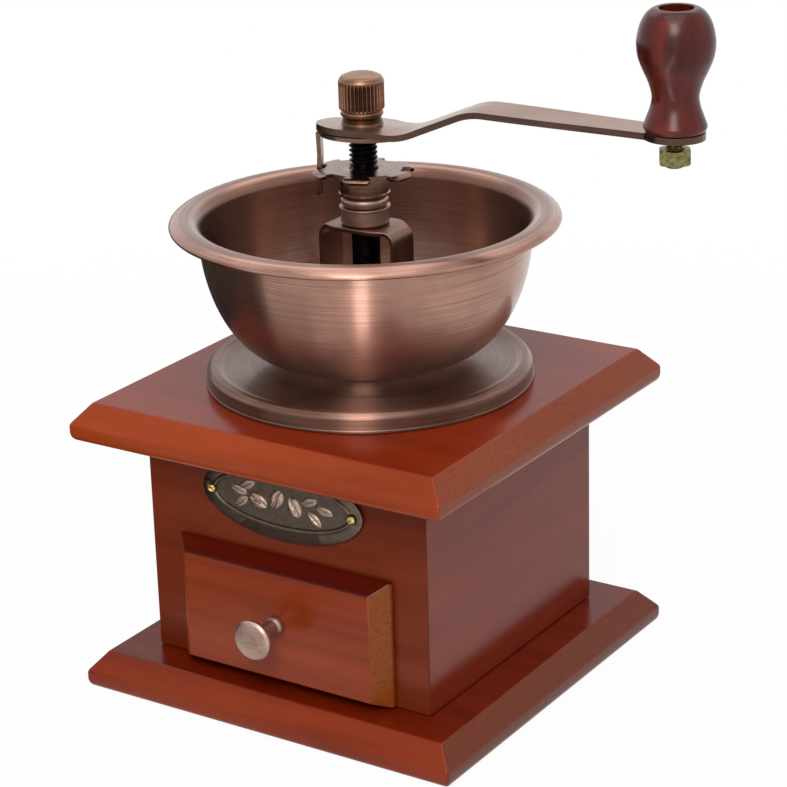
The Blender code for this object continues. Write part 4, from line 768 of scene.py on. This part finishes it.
def makeBracket():
    s = bracketSpec
    middle = s["sheet"] / 2
    leg = s["halfSpan"] - middle
    half = rounded([(0, s["top"] - middle, 0), (leg, s["top"] - middle, s["bend"]),
                    (leg, s["foot"] + middle, s["footBend"]), (s["reach"], s["foot"] + middle, 0)], 8, False)
    side = []
    for (x1, z1), (x2, z2) in zip(half, half[1:]):
        parts = max(1, int(math.hypot(x2 - x1, z2 - z1) / s["spacing"]))
        side += [(x1 + (x2 - x1) * k / parts, z1 + (z2 - z1) * k / parts) for k in range(parts)]
    side.append(half[-1])
    path = [(-x, z) for x, z in reversed(side[1:])] + side
    verts = []
    for x, z in path:
        ease = easeIn(min(1.0, max(0.0, (abs(x) - s["shoulder"]) / s["taper"])))
        width = s["halfPlate"] + (s["halfLeg"] - s["halfPlate"]) * ease
        verts += [(x, width * k / 3, z) for k in range(-3, 4)]
    bracket = meshPiece("bearingBracket", verts, gridFaces(len(path), 7, False), copperSheet)
    thicken(bracket, s["sheet"], s["ease"], 3)
    place(bracket, "housing", "antique_copper", "bearing_bracket")


makeBracket()
for name, body, node, metal, profile in collarSpecs:
    place(lathe(name, rounded(profile), metal, ring=True), body, "antique_copper", node)


# Star wheel and lock plate

wheelSpec = {"low": 149.4, "thickness": 1.2, "outer": 14.2, "notch": 10.8, "halfNotch": 2.8, "round": 1.3,
             "lobes": 6, "angle": 204, "hole": 4.2, "lip": 1.3, "lipSteps": 10, "turnDown": 0.75,
             "seam": 0.4, "lift": 0.3, "lean": 0.04, "ease": 0.22}


def makeWheel():
    s = wheelSpec
    pitch = 2 * math.pi / s["lobes"]
    half, inner = s["halfNotch"], s["notch"] - s["seam"]
    centre = math.sqrt((s["outer"] - s["round"]) ** 2 - (half + s["round"]) ** 2)  # of a lobe's round corner

    def flank(radius):  # angle between a notch's middle and its flank at this radius
        if radius < math.hypot(centre, half):
            return math.asin(half / radius)
        reach = math.hypot(centre, half + s["round"])
        opening = (radius ** 2 + reach ** 2 - s["round"] ** 2) / (2 * radius * reach)
        return math.atan2(half + s["round"], centre) - math.acos(min(1.0, opening))

    side = math.sqrt(inner ** 2 - half ** 2)
    radii = [math.hypot(side + (s["notch"] - side) * k / 2, half) for k in range(3)]
    start, flat = radii[-1], s["outer"] - s["lip"]
    radii += [start + (flat - start) * k / 2 for k in (1, 2)]
    radii += [s["outer"] - s["lip"] * (1 - k / s["lipSteps"]) ** 1.6 for k in range(1, s["lipSteps"] + 1)]
    verts, faces = [], []

    def patch(rows):  # rows of (radius, angle) points; the lip turns down and the whole wheel leans
        first, columns = len(verts), len(rows[0])
        for row in rows:
            for radius, angle in row:
                drop = s["turnDown"] * (max(0.0, radius - flat) / s["lip"]) ** 1.7
                height = s["low"] + s["thickness"] / 2 + s["lift"] - drop
                verts.append((radius * math.cos(angle), radius * math.sin(angle),
                              height - s["lean"] * radius * math.sin(angle)))
        faces.extend(tuple(first + i for i in face) for face in gridFaces(len(rows), columns, False))

    for lobe in range(s["lobes"]):
        middle = math.radians(s["angle"]) + lobe * pitch
        fromTo = lambda radius: [middle + flank(radius) + (pitch - 2 * flank(radius)) * k / 12
                                 for k in range(13)]
        patch([[(radius, angle) for angle in fromTo(radius)] for radius in radii])
        floor = []
        for k in range(3):
            row = []
            for y in [half * j / 4 for j in range(-4, 5)]:
                x = math.sqrt(inner ** 2 - y ** 2)
                x += (s["notch"] - x) * k / 2
                row.append((math.hypot(x, y), middle + math.atan2(y, x)))
            floor.append(row)
        patch(floor)
        for angles in (fromTo(inner), [angle for radius, angle in floor[0]]):
            patch([[(s["hole"] + (inner - s["hole"]) * k / 3, angle) for angle in angles] for k in range(4)])
    wheel = meshPiece("starWheel", verts, faces, copperTurned)
    thicken(wheel, s["thickness"], s["ease"], 2)
    place(wheel, "adjuster", "antique_copper", "adjusting_wheel")


lockSpec = {"low": 160.4, "sheet": 1.2, "radius": 12.0, "middleRow": 8.0, "hole": 4.3, "steps": 66,
            "angle": 204, "halfWidth": 2.0, "reach": 12.3, "drop": 18.4, "bend": 1.3, "lean": 0.085,
            "finger": [(12.2, 6, 3), (12.5, 11, 3)], "tip": 12.9, "narrowing": 0.12, "ease": 0.22}


def makeLockPlate():
    s = lockSpec
    middle = s["low"] + s["sheet"] / 2
    swing = math.asin(s["halfWidth"] / s["radius"])
    turn = math.radians(s["angle"])
    angles = [turn + swing * k / 3 for k in range(-3, 4)]
    angles += [turn + swing + (2 * math.pi - 2 * swing) * k / s["steps"] for k in range(1, s["steps"])]
    verts = []
    for radius in (s["hole"], s["middleRow"], s["radius"]):
        for angle in angles:
            x, y = radius * math.cos(angle), radius * math.sin(angle)
            verts.append((x, y, middle - s["lean"] * y))
    faces = gridFaces(3, len(angles), True)
    # the finger: bent down at the rim, a little bowed and narrower at its tip
    edge = middle - s["lean"] * s["radius"] * math.sin(turn)
    path = [(s["radius"], edge, 0), (s["reach"] + 0.1, edge - 0.05, s["bend"])]
    path += [(radius, middle - depth, bend) for radius, depth, bend in s["finger"]]
    path = rounded(path + [(s["tip"], s["low"] + s["sheet"] - s["drop"], 0)], 7, False)
    last = list(range(2 * len(angles), 2 * len(angles) + 7))
    for k, (radius, z) in enumerate(path[1:]):
        narrow = 1 if k < len(path) - 4 else 1 - s["narrowing"] * (k - len(path) + 5) / 3
        flat = min(1.0, k / 4)  # the curved rim flattens out over the first rows
        row = []
        for j in range(-3, 4):
            side = s["halfWidth"] * narrow * j / 3
            deep = math.sqrt(max(0, radius ** 2 - side ** 2)) * (1 - flat) + radius * flat
            row.append(len(verts))
            verts.append((deep * math.cos(turn) - side * math.sin(turn),
                          deep * math.sin(turn) + side * math.cos(turn), z))
        faces += [(last[j], last[j + 1], row[j + 1], row[j]) for j in range(6)]
        last = row
    lock = meshPiece("lockPlate", verts, faces, copperTurned)
    thicken(lock, s["sheet"], s["ease"], 2)
    place(lock, "spindle", "antique_copper", "lock_plate")


makeWheel()
makeLockPlate()
print("grinder: star wheel and lock plate made")


# Shaft with its rolled thread

shaftSpec = {
    "root": 3.2, "depth": 0.8, "pitch": 1.4, "steps": 48, "thread": (149.8, 160.5), "threadRows": 82,
    "below": [(2.4, 51.5), (3.0, 52.1), (3.0, 84.2), (4.0, 84.4), (4.0, 148.8)],  # radius and height
    "above": [(3.1, 160.8), (3.1, 173.4)],
}


def threadPiece(name, spec, material, below=(), above=(), x=0):
    low, high = spec["thread"]
    steps, count = spec["steps"], spec["threadRows"]
    plain = lambda rows: [[(a, b, z) for a, b in disc(radius, steps, x)] for radius, z in rows]
    rows = plain(below)
    for i in range(count + 1):
        z = low + (high - low) * i / count
        fade = min(1.0, (z - low) / spec["point"] + spec["pointShare"]) if "point" in spec else 1.0
        rows.append(threadRow(z, spec, x, fade))
    rows += plain(above)
    return meshPiece(name, sum(rows, []), tubeFaces(len(rows), steps), material, 45)


shaft = threadPiece("threadedShaft", shaftSpec, blackSteel, shaftSpec["below"], shaftSpec["above"])
place(shaft, "spindle", "black_steel", "shaft")


# Crank arm: bent strip with a round boss and a round end

crankSpec = {
    "low": 161.85, "sheet": 1.8, "boss": 12.9, "half": 5.45, "taper": 22.0, "end": 8.0, "reach": 97.5,
    "rise": 9.55, "bendStart": 11.5, "bendEnd": 42.0, "bendShare": 0.27, "fillet": 0.9, "ease": 0.5,
    # worn loose on its flats the boss leans back, and the strip is twisted a little the other way: place
    # along the arm, and lean as rise over run
    "leans": [(-13, 0.12), (6, 0.11), (22, -0.07), (45, -0.06), (98, 0.02), (106, 0.02)],
}


def crankWidth(x):
    s = crankSpec
    turn = math.atan2(s["half"], s["taper"]) + math.acos(s["boss"] / math.hypot(s["taper"], s["half"]))
    touch = s["boss"] * math.cos(turn)  # where the straight taper leaves the boss
    if x < touch:
        return math.sqrt(max(0.0, s["boss"] ** 2 - x ** 2))
    if x < s["taper"]:
        share = (x - touch) / (s["taper"] - touch)
        straight = s["boss"] * math.sin(turn) * (1 - share) + s["half"] * share
        return straight + s["fillet"] * share * (1 - share) ** 2
    if x > s["reach"] - s["end"]:
        arc = math.sqrt(max(0.0, s["end"] ** 2 - (x - s["reach"]) ** 2))
        return max(s["half"] if x < s["reach"] else 0, arc)
    return s["half"]


def crankHeight(x):
    s = crankSpec
    t = min(1.0, max(0.0, (x - s["bendStart"]) / (s["bendEnd"] - s["bendStart"])))
    soft = s["bendShare"]  # share of the slope taken by each bend
    if t < soft:
        rise = t * t / (2 * soft)
    elif t > 1 - soft:
        rise = 1 - soft - (1 - t) ** 2 / (2 * soft)
    else:
        rise = t - soft / 2
    return s["rise"] * rise / (1 - soft)


def crankLean(x):
    spots = crankSpec["leans"]
    for (x1, lean1), (x2, lean2) in zip(spots, spots[1:]):
        if x <= x2:
            return lean1 + (lean2 - lean1) * easeIn(max(0.0, (x - x1) / (x2 - x1)))
    return spots[-1][1]


def makeCrank():
    s = crankSpec
    # close rows round the boss, over the bends and round the end, wider ones between
    stations = [-s["boss"] * math.cos(math.pi / 2 * k / 24) for k in range(25)]
    stations += [0.8 * k for k in range(1, 56)]
    stations += [44.8 + 2.0 * k for k in range(23)]
    stations += [s["reach"] - s["end"] * math.cos(math.pi * k / 24) for k in range(25)]
    stations = sorted(set(round(x, 4) for x in stations if x <= s["reach"] + s["end"]))
    spaced = [stations[0]]
    for x in stations[1:]:
        if x - spaced[-1] > 0.03:
            spaced.append(x)
    verts = []
    for x in spaced:
        width = max(crankWidth(x), 0.02)
        height = s["low"] + s["sheet"] / 2 + crankHeight(x)
        verts += [(x, width * k / 5, height - crankLean(x) * width * k / 5) for k in range(-5, 6)]
    arm = meshPiece("crankArm", verts, gridFaces(len(spaced), 11, False), copperLong)
    thicken(arm, s["sheet"], s["ease"], 4)
    place(arm, "spindle", "antique_copper", "crank_arm")


makeCrank()


# Knurled cap nut

capSpec = {
    "radius": 6.4, "flutes": 34, "depth": 0.66, "runOut": 0.7, "knurlLow": 168.4, "knurlHigh": 176.0,
    "knurlRows": 16, "stepsPerFlute": 10,
    "dome": [(0, 178.35, 0), (3.6, 178.2, 4), (5.75, 177.4, 1.6), (6.35, 176.3, 0.8), (6.4, 176.02, 0)],
    "neck": [(5.9, 168.2, 0.1), (5.5, 167.9, 0.15), (5.5, 167.7, 0.1), (6.0, 167.4, 0.25), (6.0, 166.6, 0.3),
             (5.5, 166.2, 0.2), (5.35, 165.7, 0.3), (5.65, 164.6, 0.8), (6.05, 163.8, 0.3),
             (5.8, 163.6, 0.1), (4.3, 163.6, 0), (4.3, 164.6, 0)],
}


def makeCap():
    s = capSpec
    low, high, count = s["knurlLow"], s["knurlHigh"], s["knurlRows"]
    knurl = [(s["radius"], high - (high - low) * k / count) for k in range(count + 1)]

    def flute(radius, z, angle):
        if not low - 0.01 <= z <= high + 0.01:
            return radius
        share = min(1, max(0, (high - z) / s["runOut"]))  # flutes run out at the top, and stay open below
        wave = 0.5 - 0.5 * math.cos(angle * s["flutes"])
        return radius - s["depth"] * min(1.0, wave * 1.4) * share

    profile = rounded(s["dome"], 8, False) + knurl + rounded(s["neck"], 4, False)
    cap = lathe("capNut", profile, copperCap, s["flutes"] * s["stepsPerFlute"], wobble=flute, sharp=70)
    place(cap, "spindle", "antique_copper", "cap_nut")


makeCap()
print("grinder: crank made")


# Grip and bolt

gripSpec = {
    "x": 97.5,
    "skin": [(4.6, 205.6), (5.4, 205.75), (6.6, 205.3), (8.0, 204.0), (9.3, 201.6), (10.05, 198.6),
             (10.25, 196.2), (9.85, 193.0), (8.6, 189.7), (7.2, 186.6), (6.35, 183.8), (6.2, 182.0),
             (6.55, 180.0), (7.4, 177.6), (8.15, 175.6)],
    "foot": [(8.3, 175.2, 0.2), (8.35, 174.5, 0.3), (7.9, 173.6, 0.4), (7.6, 173.5, 0.2), (2.6, 173.5, 0)],
    "hollow": [(2.6, 197.9), (4.6, 197.9), (4.6, 205.0)],
}
gripBoltSpec = {
    "head": [(0, 200.5, 0), (3.4, 200.5, 0.6), (4.0, 199.6, 0.4), (4.0, 198.0, 0.2), (2.3, 198.0, 0),
             (2.3, 172.0, 0)],
    "slotReach": 5, "halfSlot": 0.45, "slotFloor": 199.4, "slotTop": 202,
    "root": 1.95, "depth": 0.4, "pitch": 0.8, "steps": 36, "thread": (163.5, 172.1), "threadRows": 85,
    "point": 0.6, "pointShare": 0.55,
}


def makeGrip():
    s = gripSpec
    profile = smoothLine(s["skin"], 5) + rounded(s["foot"], closed=False) + s["hollow"]
    grip = lathe("turnedGrip", profile, gripWood, 96, ring=True, x=s["x"], sharp=40)
    place(grip, "grip", "grip_wood", "grip")


def makeGripBolt():
    s, x = gripBoltSpec, gripSpec["x"]
    bolt = lathe("gripBoltHead", rounded(s["head"], closed=False), yellowZinc, 48, x=x)
    cutSlot(bolt, s, x)
    place(bolt, "spindle", "yellow_zinc", "grip_bolt")
    place(threadPiece("gripBoltThread", s, yellowZinc, x=x), "spindle", "yellow_zinc")


makeGrip()
makeGripBolt()
print("grinder: grip made")


# Carried-over nodes get their finishes

nodeFinishes = [
    (pineY, ["left_drawer_guide", "right_drawer_guide", "drawer_left_side", "drawer_right_side"]),
    (pineX, ["drawer_back", "drawer_bottom"]),
    (castIron, ["ring_burr", "inner_burr", "lower_bearing_bridge"]),
    (copperTurned, ["left_bracket_screw", "right_bracket_screw"]),
    (yellowZinc, ["knob_screw", "burr_nut", "grip_nut", "front_bridge_screw", "back_bridge_screw",
                  "mill_screw_1", "mill_screw_2", "mill_screw_3",
                  "base_screw_1", "base_screw_2", "base_screw_3", "base_screw_4"]),
]
for finish, names in nodeFinishes:
    for name in names:
        nodes[name].data.materials.clear()
        nodes[name].data.materials.append(finish)


# Table, backdrop and light

lightSpecs = [
    # name, place, aim, width and height in metres, watts
    ("keySoftbox", (0.46, -0.96, 0.90), (0, 0, 0.12), (0.42, 0.62), 8.5),
    ("topSoftbox", (0.12, -0.22, 0.95), (0, 0, 0.1), (0.7, 0.7), 2.6),
]
worldSpec = {"backdrop": 1.0, "ambient": 0.36}  # brightness where seen or mirrored, and as light
floorSpec = {"half": 4000, "height": -0.1, "fadeFrom": 0.08, "fadeTo": 0.45, "nearShare": 0.96}


def makeLights():
    for name, spot, aim, size, power in lightSpecs:
        data = bpy.data.lights.new(name, "AREA")
        data.shape = "RECTANGLE"
        data.size, data.size_y = size
        data.energy = power
        lamp = bpy.data.objects.new(name, data)
        lamp.location = spot
        lamp.rotation_euler = (Vector(aim) - Vector(spot)).to_track_quat("-Z", "Y").to_euler()
        bpy.context.scene.collection.objects.link(lamp)


def seenDirectly(tree):
    add = partial(addNode, tree)
    path = add("LightPath")
    either = add("Math", {"operation": "MAXIMUM"},
                 {0: path.outputs["Is Camera Ray"], 1: path.outputs["Is Glossy Ray"]})
    return add("Math", {"operation": "MAXIMUM"}, {0: either, 1: path.outputs["Is Transmission Ray"]})


def makeWorld():
    world = bpy.data.worlds.new("paleStudio")
    bpy.context.scene.world = world
    world.use_nodes = True
    tree = world.node_tree
    tree.nodes.clear()
    add = partial(addNode, tree)
    white, ambient = [add("Background", {"Color": (1, 1, 1, 1), "Strength": worldSpec[key]})
                      for key in ("backdrop", "ambient")]
    mix = add("MixShader", None, {0: seenDirectly(tree), 1: ambient, 2: white})
    add("OutputWorld", None, {"Surface": mix})


def makeFloor():
    s = floorSpec
    material, tree, shader = newMaterial("matteWhiteTable", {
        "Base Color": (0.8, 0.8, 0.8, 1), "Roughness": 0.9, "Specular IOR Level": 0.1})
    corners = [(x, y, s["height"]) for x, y in rectangle(s["half"], s["half"])]
    floor = meshPiece("paleFloor", corners, [(0, 1, 2, 3)], material)
    add = partial(addNode, tree)
    glow = add("Emission", {"Color": (1, 1, 1, 1), "Strength": worldSpec["backdrop"]})
    coords = add("TexCoord")
    away = add("VectorMath", {"operation": "LENGTH"}, {0: coords.outputs["Object"]})
    fade = add("MapRange",  # the shadow shows near the grinder and fades into white
               {"From Min": s["fadeFrom"], "From Max": s["fadeTo"], "To Min": s["nearShare"]},
               {"Value": away.outputs["Value"]})
    share = add("Math", {"operation": "MULTIPLY"}, {0: seenDirectly(tree), 1: fade})
    mix = add("MixShader", None, {0: share, 1: shader, 2: glow})
    tree.links.new(mix.outputs[0], tree.nodes["Material Output"].inputs["Surface"])


# Cards that the metal and lacquer mirror, unseen by the camera. Bearings are in degrees from the camera's
# side, right positive, and lengths are in metres.
cardSpecs = [
    # name, bearing, distance, height of the middle, width, height, brightness
    ("blackLeftCard", -100, 0.32, 0.065, 0.30, 0.13, 0.02),
    ("blackBackLeftCard", -146, 0.32, 0.065, 0.32, 0.13, 0.02),
]
highCardSpecs = [
    # name, bearing, elevation, distance, width, height, brightness: tilted down at the bowl, so that every
    # edge rolled towards the camera carries a soft bright line
    ("whiteHighBackCard", 180, 55, 0.62, 0.80, 0.26, 2.2),
    # before the key light, so that its glint on curved metal is stronger than its light on the wood
    ("whiteKeyCard", -8.5, 36, 1.0, 0.32, 0.40, 8.0),
]
floorCardSpecs = [
    # name, bearings from and to, inner and outer distance, brightness: sectors lying on the table
    ("whiteStripFloorCard", -9, 0, 0.13, 0.52, 4.2),
    ("darkFrontFloorCard", -72, -40, 0.12, 0.20, 0.25),
    ("blackLeftFloorCard", -172, -72, 0.11, 0.52, 0.02),
]
cardAim = Vector((0, 0, 0.13))
floorCardHeight = 0.0003


def makeCards():
    camera = Vector(cameraSpec["location"])
    forward = math.atan2(camera.y, camera.x)

    def card(name, outline, brightness, spot, turn):
        material = bpy.data.materials.new(name + "Paper")
        material.use_nodes = True
        tree = material.node_tree
        tree.nodes.remove(tree.nodes["Principled BSDF"])
        glow = addNode(tree, "Emission", {"Color": (1, 1, 1, 1), "Strength": brightness})
        tree.links.new(glow.outputs[0], tree.nodes["Material Output"].inputs["Surface"])
        corners = [(x / mm, y / mm, 0) for x, y in outline]
        piece = meshPiece(name, corners, [tuple(range(len(outline)))], material)
        piece.location = spot
        piece.rotation_euler = turn
        for ray in ("camera", "shadow", "diffuse", "transmission"):
            setattr(piece, "visible_" + ray, False)

    for name, bearing, distance, middle, width, height, brightness in cardSpecs:
        angle = forward + math.radians(bearing)
        spot = (distance * math.cos(angle), distance * math.sin(angle), middle)
        card(name, rectangle(width / 2, height / 2), brightness, spot,
             (math.radians(90), 0, angle + math.radians(90)))
    for name, bearing, elevation, distance, width, height, brightness in highCardSpecs:
        angle, rise = forward + math.radians(bearing), math.radians(elevation)
        out = Vector((math.cos(rise) * math.cos(angle), math.cos(rise) * math.sin(angle), math.sin(rise)))
        card(name, rectangle(width / 2, height / 2), brightness, out * distance + cardAim,
             out.to_track_quat("Z", "Y").to_euler())
    for name, start, end, near, far, brightness in floorCardSpecs:
        bearings = [forward + math.radians(start + (end - start) * k / 8) for k in range(9)]
        outline = [(far * math.cos(a), far * math.sin(a)) for a in bearings]
        outline += [(near * math.cos(a), near * math.sin(a)) for a in reversed(bearings)]
        card(name, outline, brightness, (0, 0, floorCardHeight), (0, 0, 0))


makeLights()
makeWorld()
makeFloor()
makeCards()
bpy.context.scene.view_settings.view_transform = "Standard"
print("grinder: stage made")
